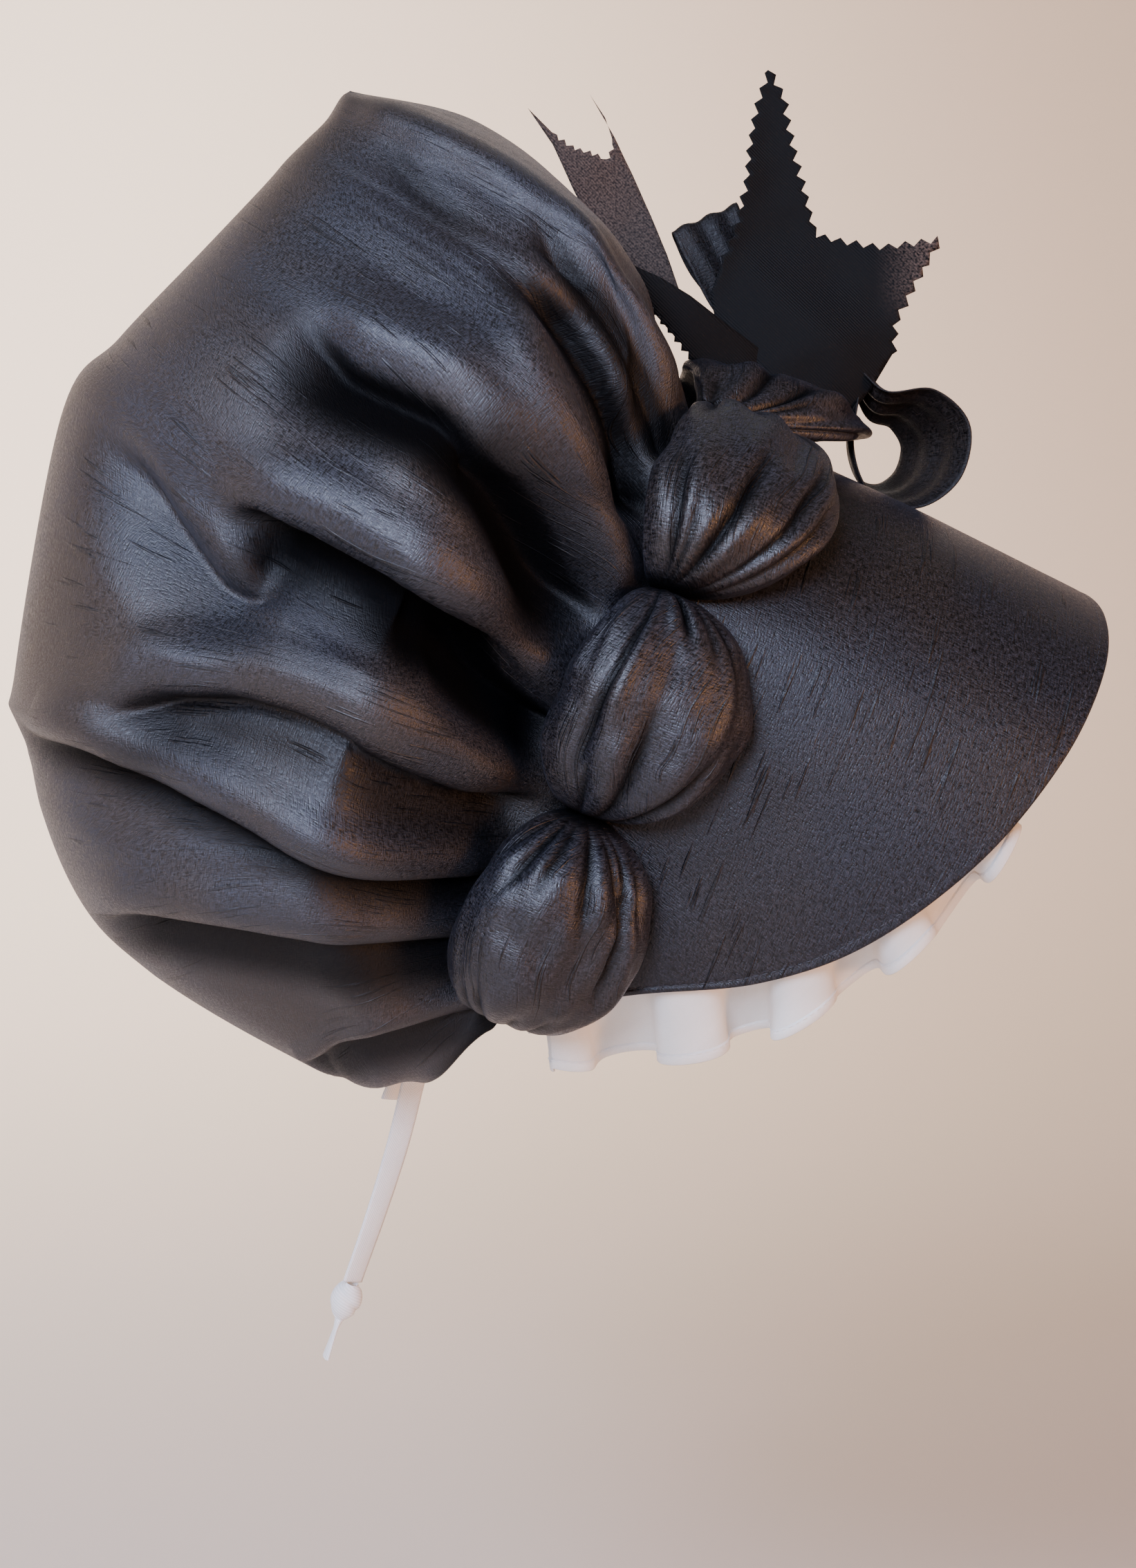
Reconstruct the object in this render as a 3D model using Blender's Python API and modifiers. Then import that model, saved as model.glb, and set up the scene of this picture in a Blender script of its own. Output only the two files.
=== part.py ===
# A black silk poke bonnet in the form that it has on a head. Metres, +Z up. The face looks
# along -Y, the wearer's right side is -X, and the origin is the middle of the head.
#
# Crown and brim meet in an arch over the head, the join. Its plane leans forward by JOIN_LEAN.
# Points are given on that plane: x sideways, along up the plane, back square to it.

import math
from bisect import bisect
from collections import namedtuple

import bmesh
import bpy
from mathutils import Vector

# The join of crown and brim: an arch on two sides that draw in to the cheeks
JOIN_LEAN = math.radians(20)
JOIN_HALF_WIDTH = 0.092
JOIN_ARCH_RISE = 0.088
JOIN_SPRING = 0.030
JOIN_SIDE = 0.141
CHEEK_HALF_WIDTH = 0.081

# The crown
CROWN_DEPTH = 0.228
CROWN_RISE = 0.192
CROWN_DROP = 0.170
CROWN_HALF_WIDTH = 0.164
CROWN_SWELL_REACH = 0.085
CROWN_WALL = 0.0016
FOLD_HEIGHT = 0.020

# The brim
BRIM_REACH = 0.160
BRIM_EDGE_HALF_WIDTH = 0.110
BRIM_WALL = 0.0022

# The puffed trim over the join
PUFF_COUNT = 7
PUFF_WIDTH = 0.064
PUFF_THICKNESS = 0.037
PUFF_TOP_THICKNESS = 0.020
PUFF_PINCH = 0.010
PUFF_FORWARD = 0.018
PUFF_RINGS = 11
PUFF_SIDES = 12

# The frill inside the brim
FRILL_WIDTH = 0.050
FRILL_INSET = 0.027
FRILL_FLUTE = 0.0060
FRILL_FLUTES = 28
FRILL_WALL = 0.0010
FLUTE_STEPS = 5
FRILL_DROP_STEPS = 2

# The bow on top of the join
BOW_SIZE = 0.110
BOW_FORWARD = 0.040
BOW_SIDE = 0.010
BOW_KNOT_LENGTH = 0.020
BOW_KNOT_WIDTH = 0.024
BOW_KNOT_RINGS = 7
RIBBON_WALL = 0.0011
LOOP_WIDTH = 0.046

# The nape tape. Its way down from the nape has points chosen by hand, as shares of TAPE_LENGTH
# back and down, and so has the way of its other, short end.
TAPE_WIDTH = 0.0095
TAPE_LENGTH = 0.089
TAPE_WAY = [(0.00, 0.00), (0.08, 0.32), (0.18, 0.64), (0.29, 0.955)]
TAPE_STEPS = 12
TAPE_END_LENGTH = 0.015
TAPE_END_WAY = (0.30, 0.95)
TAPE_END_STEPS = 3
TAPE_KNOT_LENGTH = 0.016
TAPE_TAIL_LENGTH = 0.016

# The knot's sections: how far along the knot and then along the tail, and half the depth and half
# the width as shares of TAPE_WIDTH
KnotSection = namedtuple("KnotSection", "knot tail deep wide")
TAPE_KNOT = [
    KnotSection(0.00, 0.00, 0.30, 0.45),
    KnotSection(0.20, 0.00, 0.55, 0.55),
    KnotSection(0.50, 0.00, 0.68, 0.62),
    KnotSection(0.80, 0.00, 0.50, 0.50),
    KnotSection(1.00, 0.00, 0.22, 0.28),
    KnotSection(1.00, 0.35, 0.12, 0.42),
    KnotSection(1.00, 0.75, 0.09, 0.56),
    KnotSection(1.00, 1.00, 0.08, 0.60),
]
KNOT_SIDES = 12

# What sewn pieces keep clear of each other
GAP = 0.0003

ARCH_STEPS = 240

# The crown's fold lines, from the nape edge up one side to the top. start is the share of the
# half join, from cheek to top, where a line begins. back1 along1, back2 along2 and back3 along3
# are where it is after one and two thirds and at its end on the middle of the bonnet: back as a
# share of CROWN_DEPTH, along of CROWN_RISE above the middle and of CROWN_DROP below it. width is
# the share of CROWN_HALF_WIDTH that it reaches. fold is its height over the cloth between, as a
# share of FOLD_HEIGHT, less than 0 in a valley, from the share first to the share last of its
# length. swell is the height of the panel up to the next line, also of FOLD_HEIGHT. other is the
# share of the fold's height on the wearer's left, and shift how much higher the line runs there, as
# a share of CROWN_RISE. ribs are the steps to the next line.
FoldLine = namedtuple("FoldLine", "start back1 along1 back2 along2 back3 along3 width "
                                  "fold first last swell other shift ribs")
FOLD_LINES = {
    "nape":        FoldLine(0.00, 0.03, -0.73, 0.06, -0.85, 0.08, -0.95, 0.53, 0.0, 0.0, 1.0, 0.1, 1.0, 0.00, 2),
    "heel":        FoldLine(0.05, 0.10, -0.70, 0.17, -0.82, 0.23, -1.00, 0.80, -0.4, 0.2, 0.9, 0.3, 0.7, 0.02, 3),
    "low back":    FoldLine(0.12, 0.23, -0.51, 0.44, -0.58, 0.67, -0.86, 0.90, -0.5, 0.1, 1.1, 0.4, 1.0, -0.07, 3),
    "back":        FoldLine(0.21, 0.27, -0.37, 0.53, -0.36, 0.91, -0.49, 0.96, -0.6, 0.1, 1.1, 0.4, 0.6, -0.15, 3),
    "side":        FoldLine(0.29, 0.29, -0.13, 0.57, -0.14, 0.94, -0.36, 1.00, -0.8, 0.1, 0.9, 0.3, 0.8, -0.10, 3),
    "deep":        FoldLine(0.36, 0.25, 0.05, 0.55, 0.06, 1.00, 0.19, 0.99, -1.2, 0.1, 1.0, 0.0, 0.6, 0.14, 2),
    "deep lip":    FoldLine(0.40, 0.26, 0.14, 0.58, 0.20, 0.98, 0.23, 1.01, 0.3, 0.2, 0.8, 0.3, 0.8, 0.18, 4),
    "pointed":     FoldLine(0.55, 0.23, 0.36, 0.46, 0.46, 0.87, 0.57, 0.95, -0.8, 0.1, 0.8, 0.0, 0.6, 0.06, 2),
    "front ridge": FoldLine(0.58, 0.18, 0.40, 0.35, 0.55, 0.81, 0.73, 0.89, 0.4, 0.2, 0.8, 0.0, 1.2, 0.05, 2),
    "front":       FoldLine(0.61, 0.17, 0.48, 0.31, 0.64, 0.79, 0.79, 0.82, -0.5, 0.1, 0.8, 0.0, 0.7, 0.04, 2),
    "upper ridge": FoldLine(0.64, 0.12, 0.52, 0.26, 0.70, 0.77, 0.84, 0.74, 0.4, 0.2, 0.7, 0.0, 1.3, 0.02, 2),
    "upper":       FoldLine(0.69, 0.13, 0.61, 0.29, 0.78, 0.75, 0.89, 0.62, -0.7, 0.1, 0.8, 0.0, 0.8, 0.01, 3),
    "top ridge":   FoldLine(0.78, 0.17, 0.75, 0.40, 0.88, 0.74, 0.94, 0.44, 0.3, 0.1, 1.0, 0.2, 0.9, 0.00, 4),
    "top":         FoldLine(1.00, 0.28, 0.89, 0.51, 0.99, 0.73, 0.96, 0.00, 0.0, 0.0, 1.0, 0.0, 1.0, 0.00, 0),
}
CROWN_STEPS = 18

# The brim's edge, from cheek to top: share is how far round the half edge, reach the share of
# BRIM_REACH forward of the join, rise the share of BRIM_REACH above the middle and width the
# share of BRIM_EDGE_HALF_WIDTH.
EdgePoint = namedtuple("EdgePoint", "share reach rise width")
BRIM_EDGE = [
    EdgePoint(0.00, 0.03, -0.68, 0.74),
    EdgePoint(0.12, 0.24, -0.55, 0.82),
    EdgePoint(0.25, 0.49, -0.42, 0.90),
    EdgePoint(0.37, 0.68, -0.25, 0.96),
    EdgePoint(0.50, 0.84, 0.01, 1.00),
    EdgePoint(0.63, 0.94, 0.28, 0.95),
    EdgePoint(0.76, 0.99, 0.49, 0.76),
    EdgePoint(0.88, 1.01, 0.61, 0.43),
    EdgePoint(1.00, 1.01, 0.65, 0.00),
]
BRIM_ROUND_STEPS = 44
BRIM_FORWARD_STEPS = 4
BRIM_CURL = 0.012

# The bow's strips, each between a left and a right edge. Each edge starts at its root on the knot,
# in halves of the knot's size as x, forward and up. The points after it are shares of BOW_SIZE
# from the knot's middle, out to the tip. notch is the share of the length that the V in the end
# takes.
Strip = namedtuple("Strip", "left_root left right_root right notch")
BOW_STRIPS = {
    "bow_tail_tall": Strip((0.00, -0.50, 0.97), [(0.03, -0.40, 0.22), (0.02, -0.34, 0.60), (-0.04, -0.25, 1.04)],
                           (0.00, 0.00, 1.06), [(-0.02, 0.16, 0.17), (-0.06, 0.25, 0.31), (-0.12, 0.32, 0.48)],
                           0.42),
    "bow_tail_thin": Strip((0.32, -1.00, 0.02), [(0.27, -0.55, 0.36), (0.32, -0.82, 0.66), (0.36, -1.05, 0.99)],
                           (0.32, -1.00, 0.30), [(0.19, -0.46, 0.44), (0.24, -0.66, 0.72), (0.30, -0.83, 1.02)],
                           0.26),
    "bow_tail_lying": Strip((-0.20, -1.00, -0.25), [(-0.16, -0.32, 0.06), (-0.20, -0.52, 0.17), (-0.21, -0.70, 0.38)],
                            (-0.20, -1.00, 0.15), [(-0.04, -0.32, 0.19), (-0.11, -0.50, 0.31), (-0.17, -0.69, 0.40)],
                            0.10),
}

# The loops of ribbon: wide is the share of LOOP_WIDTH. A loop leaves the knot at start and comes
# back to it at end, both in halves of the knot's size, and its way is shares of BOW_SIZE from the
# knot's middle, all as x, forward and up.
Loop = namedtuple("Loop", "wide start way end")
BOW_LOOPS = {
    "bow_loop_front": Loop(1.0, (0.10, 1.00, 0.25),
                           [(0.04, 0.22, 0.04), (0.04, 0.35, -0.03), (0.04, 0.43, -0.16), (0.04, 0.40, -0.29),
                            (0.04, 0.27, -0.34), (0.04, 0.16, -0.25)],
                           (0.10, 1.04, -0.25)),
    "bow_loop_back": Loop(0.5, (0.66, -0.35, 0.96),
                          [(0.24, -0.24, 0.34), (0.31, -0.43, 0.56), (0.32, -0.37, 0.63), (0.27, -0.22, 0.47)],
                          (0.66, 0.10, 0.99)),
}
LOOP_STEPS = 20
STRIP_LENGTH_STEPS = 9
STRIP_ACROSS_STEPS = 6


# A point of the join's frame, in world axes
def place(x, along, back):
    lean_sin, lean_cos = math.sin(JOIN_LEAN), math.cos(JOIN_LEAN)
    return Vector((x, back * lean_cos - along * lean_sin, along * lean_cos + back * lean_sin))


# The near half of the join's arch, from its top down to the cheek, as x, along and the run so far
def arch_table():
    spots = []
    for step in range(ARCH_STEPS + 1):
        turn = math.pi / 2 * step / ARCH_STEPS
        spots.append(Vector((JOIN_HALF_WIDTH * math.sin(turn), JOIN_SPRING + JOIN_ARCH_RISE * math.cos(turn))))
    for step in range(1, ARCH_STEPS + 1):
        down = step / ARCH_STEPS
        draw_in = (JOIN_HALF_WIDTH - CHEEK_HALF_WIDTH) * down ** 2
        spots.append(Vector((JOIN_HALF_WIDTH - draw_in, JOIN_SPRING - JOIN_SIDE * down)))
    runs = [0.0]
    for before, after in zip(spots, spots[1:]):
        runs.append(runs[-1] + (after - before).length)
    return spots, runs


ARCH_SPOTS, ARCH_RUNS = arch_table()
HALF_JOIN = ARCH_RUNS[-1]


# The arch of the join. run is the way along it from the top, + to the wearer's left.
# Gives x and along, and the same for the direction that points away from the head.
def join_arch(run):
    side = 1.0 if run >= 0 else -1.0
    step = min(bisect(ARCH_RUNS, abs(run)), len(ARCH_RUNS) - 1)
    before, after = ARCH_SPOTS[step - 1], ARCH_SPOTS[step]
    part = (abs(run) - ARCH_RUNS[step - 1]) / (ARCH_RUNS[step] - ARCH_RUNS[step - 1])
    spot = before.lerp(after, part)
    ahead = (after - before).normalized()
    return Vector((spot.x * side, spot.y)), Vector((-ahead.y * side, ahead.x))


def smooth(value):
    value = min(max(value, 0.0), 1.0)
    return value * value * (3 - 2 * value)


# A smooth curve through points, read at place, which counts the points from 0
def through(points, place_on):
    last = len(points) - 1
    step = min(int(place_on), last - 1)
    part = place_on - step
    before = points[step - 1] if step > 0 else points[0] * 2 - points[1]
    after = points[step + 2] if step + 2 <= last else points[last] * 2 - points[last - 1]
    here, there = points[step], points[step + 1]
    return (here * 2 + (there - before) * part
            + (before * 2 - here * 5 + there * 4 - after) * part ** 2
            + (here * 3 - before - there * 3 + after) * part ** 3) * 0.5


def material(name, colour, roughness):
    made = bpy.data.materials.new(name)
    made.use_nodes = True
    shader = made.node_tree.nodes["Principled BSDF"]
    shader.inputs["Base Color"].default_value = (*colour, 1.0)
    shader.inputs["Roughness"].default_value = roughness
    shader.inputs["Metallic"].default_value = 0.0
    return made


def add_object(name, data, colour, roughness):
    made = bpy.data.objects.new(name, data)
    data.materials.append(material(name, colour, roughness))
    bpy.data.collections["poke_bonnet"].objects.link(made)
    return made


def add_wall(made, thickness, offset):
    wall = made.modifiers.new("wall", "SOLIDIFY")
    wall.thickness = thickness
    wall.offset = offset
    wall.use_even_offset = False


# An open sheet from rows of points
def sheet_mesh(name, rows, flip=False):
    mesh = bpy.data.meshes.new(name)
    shape = bmesh.new()
    verts = [[shape.verts.new(point) for point in row] for row in rows]
    for near, far in zip(verts, verts[1:]):
        for step in range(len(near) - 1):
            corners = [near[step], far[step], far[step + 1], near[step + 1]]
            shape.faces.new(corners[::-1] if flip else corners)
    shape.to_mesh(mesh)
    shape.free()
    mesh.shade_smooth()
    return mesh


# A closed body from rings of points, with a flat cap at each end
def ring_mesh(name, rings):
    mesh = bpy.data.meshes.new(name)
    shape = bmesh.new()
    verts = [[shape.verts.new(point) for point in ring] for ring in rings]
    sides = len(rings[0])
    for near, far in zip(verts, verts[1:]):
        for step in range(sides):
            follow = (step + 1) % sides
            shape.faces.new([near[step], near[follow], far[follow], far[step]])
    shape.faces.new(verts[0][::-1])
    shape.faces.new(verts[-1])
    bmesh.ops.recalc_face_normals(shape, faces=shape.faces)
    shape.to_mesh(mesh)
    shape.free()
    mesh.shade_smooth()
    return mesh


# A table's back and along shares as a point on the middle plane
def outline_point(back, along):
    return Vector((0, along * (CROWN_RISE if along >= 0 else CROWN_DROP), back * CROWN_DEPTH))


# The smooth bag under the folds: one fold line at the share t of its length, on the near side
# or as the wearer's left has it
def bag_line(line, t, other_side):
    spot, away = join_arch(-(1 - line.start) * HALF_JOIN)
    start = Vector((0, spot.y, GAP))
    ways = [start, outline_point(line.back1, line.along1), outline_point(line.back2, line.along2),
            outline_point(line.back3, line.along3)]
    side = through(ways, t * 3)
    if other_side:
        side.y += line.shift * CROWN_RISE * math.sin(math.pi * t)
    low = (1 - smooth(side.z / (PUFF_WIDTH * 0.6))) * max(away.y, 0.0)
    side.y -= (side.y - start.y) * low
    reach = line.width * CROWN_HALF_WIDTH
    half = -spot.x + (reach + spot.x) * smooth((side.z - PUFF_WIDTH * 0.12) / CROWN_SWELL_REACH)
    return Vector((-half * (1 - t ** 2.6) ** 0.5, side.y, side.z))


# How high the folds and panels stand at rib (counted in fold lines) and t
def fold_height(rib, t, other_side):
    height = 0.0
    lines = list(FOLD_LINES.values())
    for number, line in enumerate(lines):
        near = 1 - abs(rib - number)
        if near > 0:
            shown = smooth((t - line.first) / 0.2) * smooth((line.last - t) / 0.25)
            spread = near ** 1.6 if line.fold < 0 else math.sin(math.pi / 2 * near) ** 2
            height += line.fold * shown * spread * (line.other if other_side else 1.0)
    panel = lines[min(int(rib), len(lines) - 2)]
    height += panel.swell * math.sin(math.pi * (rib % 1)) * smooth(t / 0.3) * smooth((1 - t) / 0.15)
    return height * FOLD_HEIGHT


# One half of the crown as rows of points, from the nape edge to the top line
def crown_half(other_side):
    lines = list(FOLD_LINES.values())
    ribs = [number + step / line.ribs for number, line in enumerate(lines) for step in range(line.ribs)]
    ribs.append(len(lines) - 1.0)
    shares = [math.sin(math.pi / 2 * step / CROWN_STEPS) for step in range(CROWN_STEPS + 1)]
    bag_rows = [[bag_line(line, t, other_side) for line in lines] for t in shares]
    bag = [[through(bag_row, rib) for bag_row in bag_rows] for rib in ribs]
    rows = []
    for i, rib in enumerate(ribs):
        row = []
        for j, t in enumerate(shares):
            up = bag[min(i + 1, len(ribs) - 1)][j] - bag[max(i - 1, 0)][j]
            away = bag[i][min(j + 1, CROWN_STEPS)] - bag[i][max(j - 1, 0)]
            normal = away.cross(up).normalized()
            at_middle = i == len(ribs) - 1 or j == CROWN_STEPS
            if at_middle:
                normal.x = 0
            clear = smooth((bag[i][j].z - PUFF_WIDTH * 0.25) / (PUFF_WIDTH * 0.6))
            height = fold_height(rib, t, other_side and not at_middle) * clear
            spot = bag[i][j] + normal * height
            if other_side:
                spot.x = -spot.x
            row.append(place(0 if at_middle else spot.x, spot.y, spot.z))
        rows.append(row)
    return rows


def add_crown():
    near, far = crown_half(False), crown_half(True)
    mesh = bpy.data.meshes.new("crown")
    shape = bmesh.new()
    near_verts = [[shape.verts.new(point) for point in row] for row in near]
    far_verts = []
    for i, row in enumerate(far):
        shared = i == len(far) - 1
        far_verts.append([near_verts[i][j] if shared or j == len(row) - 1 else shape.verts.new(point)
                          for j, point in enumerate(row)])
    for verts, flip in ((near_verts, False), (far_verts, True)):
        for lower, upper in zip(verts, verts[1:]):
            for j in range(len(lower) - 1):
                corners = [lower[j], upper[j], upper[j + 1], lower[j + 1]]
                shape.faces.new(corners[::-1] if flip else corners)
    shape.to_mesh(mesh)
    shape.free()
    mesh.shade_smooth()
    crown = add_object("crown", mesh, (0.012, 0.012, 0.015), 0.45)
    add_wall(crown, CROWN_WALL, -1.0)
    return crown


# The brim's edge at share, -1 at one cheek, 0 at the top and 1 at the other
def brim_edge(share):
    side = 1.0 if share >= 0 else -1.0
    round_share = 1 - abs(share)
    step = 0
    while step < len(BRIM_EDGE) - 2 and BRIM_EDGE[step + 1].share < round_share:
        step += 1
    here, there = BRIM_EDGE[step], BRIM_EDGE[step + 1]
    place_on = step + (round_share - here.share) / (there.share - here.share)
    points = [Vector((p.width * BRIM_EDGE_HALF_WIDTH, p.rise * BRIM_REACH, -p.reach * BRIM_REACH))
              for p in BRIM_EDGE]
    points.append(Vector((-points[-2].x, points[-2].y, points[-2].z)))
    edge = through(points, place_on)
    return Vector((edge.x * side, edge.y, edge.z))


# The brim's outer side, in the join's frame: forward is 0 at the join and 1 at the edge
def brim_outside(share, forward):
    spot, away = join_arch(share * HALF_JOIN)
    start = Vector((spot.x, spot.y, -GAP))
    edge = brim_edge(share)
    curl = BRIM_CURL * (edge - start).length * math.sin(math.pi * forward)
    return start.lerp(edge, forward) + Vector((away.x, away.y, 0)) * curl


# A point inside the brim, below its outer side
def brim_inside(share, forward, below):
    near = brim_outside(share, forward)
    round_step = brim_outside(min(share + 0.01, 1.0), forward) - brim_outside(max(share - 0.01, -1.0), forward)
    out_step = brim_outside(share, forward + 0.02) - near
    inward = out_step.cross(round_step).normalized()
    return near + inward * below, inward


def add_brim():
    rows = []
    for i in range(BRIM_ROUND_STEPS + 1):
        share = -1 + 2 * i / BRIM_ROUND_STEPS
        rows.append([place(*brim_outside(share, j / BRIM_FORWARD_STEPS))
                     for j in range(BRIM_FORWARD_STEPS + 1)])
    brim = add_object("brim", sheet_mesh("brim", rows, flip=True), (0.014, 0.014, 0.017), 0.4)
    add_wall(brim, BRIM_WALL, -1.0)
    return brim


# How far a puff's underside stands off the join, to clear the brim's flare under its front
def puff_lift(forward, wide):
    flare = (BRIM_EDGE_HALF_WIDTH - JOIN_HALF_WIDTH) / BRIM_REACH
    return GAP * 3 + flare * (forward + wide * 0.4)


# One puff: rings round the join's arch, with gathers that run in from both pinches
def add_puff(number):
    pitch = 2 * HALF_JOIN / PUFF_COUNT
    middle = -HALF_JOIN + pitch * (number + 0.5)
    half = pitch / 2 - GAP
    at_top = number == PUFF_COUNT // 2
    thickness = PUFF_TOP_THICKNESS if at_top else PUFF_THICKNESS
    rings = []
    for i in range(PUFF_RINGS):
        way = math.sin(math.pi / 2 * (2 * i / (PUFF_RINGS - 1) - 1))
        spot, away = join_arch(middle + half * way)
        fullness = max(1 - abs(way) ** 2.4, 0.0) ** 0.6
        wide = (PUFF_PINCH + (PUFF_WIDTH - PUFF_PINCH) * fullness) / 2
        thick = (PUFF_PINCH * 0.8 + (thickness - PUFF_PINCH * 0.8) * fullness) / 2
        forward = PUFF_FORWARD * smooth(1 - abs(middle + half * way) / HALF_JOIN) * fullness
        ring = []
        for k in range(PUFF_SIDES):
            turn = 2 * math.pi * k / PUFF_SIDES
            gather = 1 + 0.07 * math.cos(PUFF_SIDES / 2 * turn) * abs(way) ** 2
            back = wide * math.cos(turn) * gather - forward
            out = thick * (1 + math.sin(turn) * gather) + puff_lift(forward, wide)
            ring.append(place(spot.x + away.x * out, spot.y + away.y * out, back))
        rings.append(ring)
    name = f"puff_{number + 1}"
    return add_object(name, ring_mesh(name, rings), (0.013, 0.012, 0.013), 0.42)


# Where the frill is sewn, and the way that it hangs there
def frill_seat(share):
    length = (brim_edge(share) - brim_outside(share, 0)).length
    inset = FRILL_INSET * (1 + 1.2 * smooth((0.7 - abs(share)) / 0.5))
    forward = max(1 - inset / length, 0.12)
    seat, inward = brim_inside(share, forward, BRIM_WALL + GAP + FRILL_WALL)
    ahead = (brim_edge(share) - seat).normalized()
    down = Vector((0, -math.cos(JOIN_LEAN), -math.sin(JOIN_LEAN)))
    sideways = smooth((abs(share) - 0.35) / 0.3)
    hang = down * sideways + ahead * (1.1 - sideways)
    hang = (hang - inward * hang.dot(inward)).normalized()
    return seat, inward, hang


def add_frill():
    columns = FRILL_FLUTES * FLUTE_STEPS
    rows = []
    for i in range(columns + 1):
        share = -0.99 + 1.98 * i / columns
        seat, inward, hang = frill_seat(share)
        end_fade = 0.42 + 0.58 * smooth((0.99 - abs(share)) / 0.11)
        wave = math.sin(2 * math.pi * FRILL_FLUTES * i / columns) * (0.8 + 0.2 * math.sin(i * 0.37))
        row = []
        for j in range(FRILL_DROP_STEPS + 1):
            way = j / FRILL_DROP_STEPS
            lean_in = FRILL_FLUTE * (1.35 * way) + 0.10 * FRILL_WIDTH * way
            spot = seat + hang * FRILL_WIDTH * end_fade * way + inward * (lean_in + wave * FRILL_FLUTE * way)
            row.append(place(*spot))
        rows.append(row)
    frill = add_object("frill", sheet_mesh("frill", rows), (0.80, 0.79, 0.76), 0.85)
    add_wall(frill, FRILL_WALL, 0.0)
    return frill


# The middle of the bow's knot, which rests on the top puff's front shoulder, flat side on flat
# side: a flat lies nearer to the middle than the corners do
def bow_seat():
    shoulder = (BOW_FORWARD - PUFF_FORWARD) / (PUFF_WIDTH / 2)
    puff_flat = math.cos(math.pi / PUFF_SIDES) * max(1 - shoulder ** 2, 0.0) ** 0.5
    puff_top = PUFF_TOP_THICKNESS / 2 * (1 + puff_flat)
    top = JOIN_SPRING + JOIN_ARCH_RISE + puff_top + puff_lift(PUFF_FORWARD, PUFF_WIDTH / 2)
    knot_flat = BOW_KNOT_WIDTH / 2 * math.cos(math.pi / KNOT_SIDES)
    return place(BOW_SIDE, top + knot_flat + GAP, -BOW_FORWARD)


def bow_point(x, forward, up):
    return bow_seat() + Vector((x, -forward, up)) * BOW_SIZE


# A ribbon's root on the knot, clear of its skin
def bow_root(x, forward, up):
    out = Vector((x * BOW_KNOT_WIDTH, -forward * BOW_KNOT_LENGTH, up * BOW_KNOT_WIDTH)) / 2
    return bow_seat() + out + out.normalized() * (GAP + RIBBON_WALL / 3)


def add_bow_knot():
    rings = []
    for i in range(BOW_KNOT_RINGS):
        way = math.sin(math.pi / 2 * (2 * i / (BOW_KNOT_RINGS - 1) - 1))
        full = 0.35 + 0.65 * (1 - way ** 2) ** 0.5
        ring = []
        for k in range(KNOT_SIDES):
            turn = 2 * math.pi * k / KNOT_SIDES
            crease = 1 + 0.06 * math.cos(4 * turn)
            ring.append(bow_seat() + Vector((math.cos(turn) * BOW_KNOT_WIDTH / 2 * full * crease,
                                             -way * BOW_KNOT_LENGTH / 2,
                                             math.sin(turn) * BOW_KNOT_WIDTH / 2 * full * crease)))
        rings.append(ring)
    return add_object("bow_knot", ring_mesh("bow_knot", rings), (0.008, 0.008, 0.009), 0.5)


# A strip between its two edges, with a V cut out of its end
def add_strip(name, strip):
    left = [bow_root(*strip.left_root)] + [bow_point(*point) for point in strip.left]
    right = [bow_root(*strip.right_root)] + [bow_point(*point) for point in strip.right]
    rows = []
    for i in range(STRIP_ACROSS_STEPS + 1):
        side = i / STRIP_ACROSS_STEPS
        longest = 1 - strip.notch * (1 - abs(2 * side - 1))
        row = []
        for j in range(STRIP_LENGTH_STEPS + 1):
            way = longest * j / STRIP_LENGTH_STEPS * (len(left) - 1)
            row.append(through(left, way).lerp(through(right, way), side))
        rows.append(row)
    made = add_object(name, sheet_mesh(name, rows), (0.010, 0.009, 0.010), 0.5)
    add_wall(made, RIBBON_WALL, 0.0)
    return made


# A loop of ribbon, whose width lies across the bonnet
def add_loop(name, loop):
    points = [bow_root(*loop.start)] + [bow_point(*point) for point in loop.way] + [bow_root(*loop.end)]
    half = LOOP_WIDTH * loop.wide / 2
    rows = []
    for i in range(LOOP_STEPS + 1):
        spot = through(points, i / LOOP_STEPS * (len(points) - 1))
        taper = 0.45 + 0.55 * math.sin(math.pi * i / LOOP_STEPS) ** 0.6
        rows.append([spot + Vector((half * taper * side, 0, 0)) for side in (-1, -0.4, 0.4, 1)])
    made = add_object(name, sheet_mesh(name, rows), (0.010, 0.009, 0.010), 0.5)
    add_wall(made, RIBBON_WALL, 0.0)
    return made


def nape_point():
    nape = FOLD_LINES["nape"]
    return place(*outline_point(nape.back3, nape.along3))


def tape_points():
    start = nape_point() + Vector((0, 0, -CROWN_WALL - GAP * 2))
    ways = [start + Vector((0, back, -down)) * TAPE_LENGTH for back, down in TAPE_WAY]
    return [through(ways, step / TAPE_STEPS * (len(ways) - 1)) for step in range(TAPE_STEPS + 1)]


# The tape's other end, which comes out beside the first
def tape_end_points():
    start = nape_point() + Vector((TAPE_WIDTH * 1.6, TAPE_WIDTH * 0.6, -CROWN_WALL - GAP * 2))
    back, down = TAPE_END_WAY
    return [start + Vector((0, back, -down)) * TAPE_END_LENGTH * step / TAPE_END_STEPS
            for step in range(TAPE_END_STEPS + 1)]


def add_cord(name, points, width):
    curve = bpy.data.curves.new(name, "CURVE")
    curve.dimensions = "3D"
    curve.bevel_depth = width / 2
    curve.bevel_resolution = 2
    curve.use_fill_caps = True
    line = curve.splines.new("POLY")
    line.points.add(len(points) - 1)
    for spot, point in zip(line.points, points):
        spot.co = (*point, 1.0)
    return add_object(name, curve, (0.78, 0.78, 0.77), 0.8)


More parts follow.
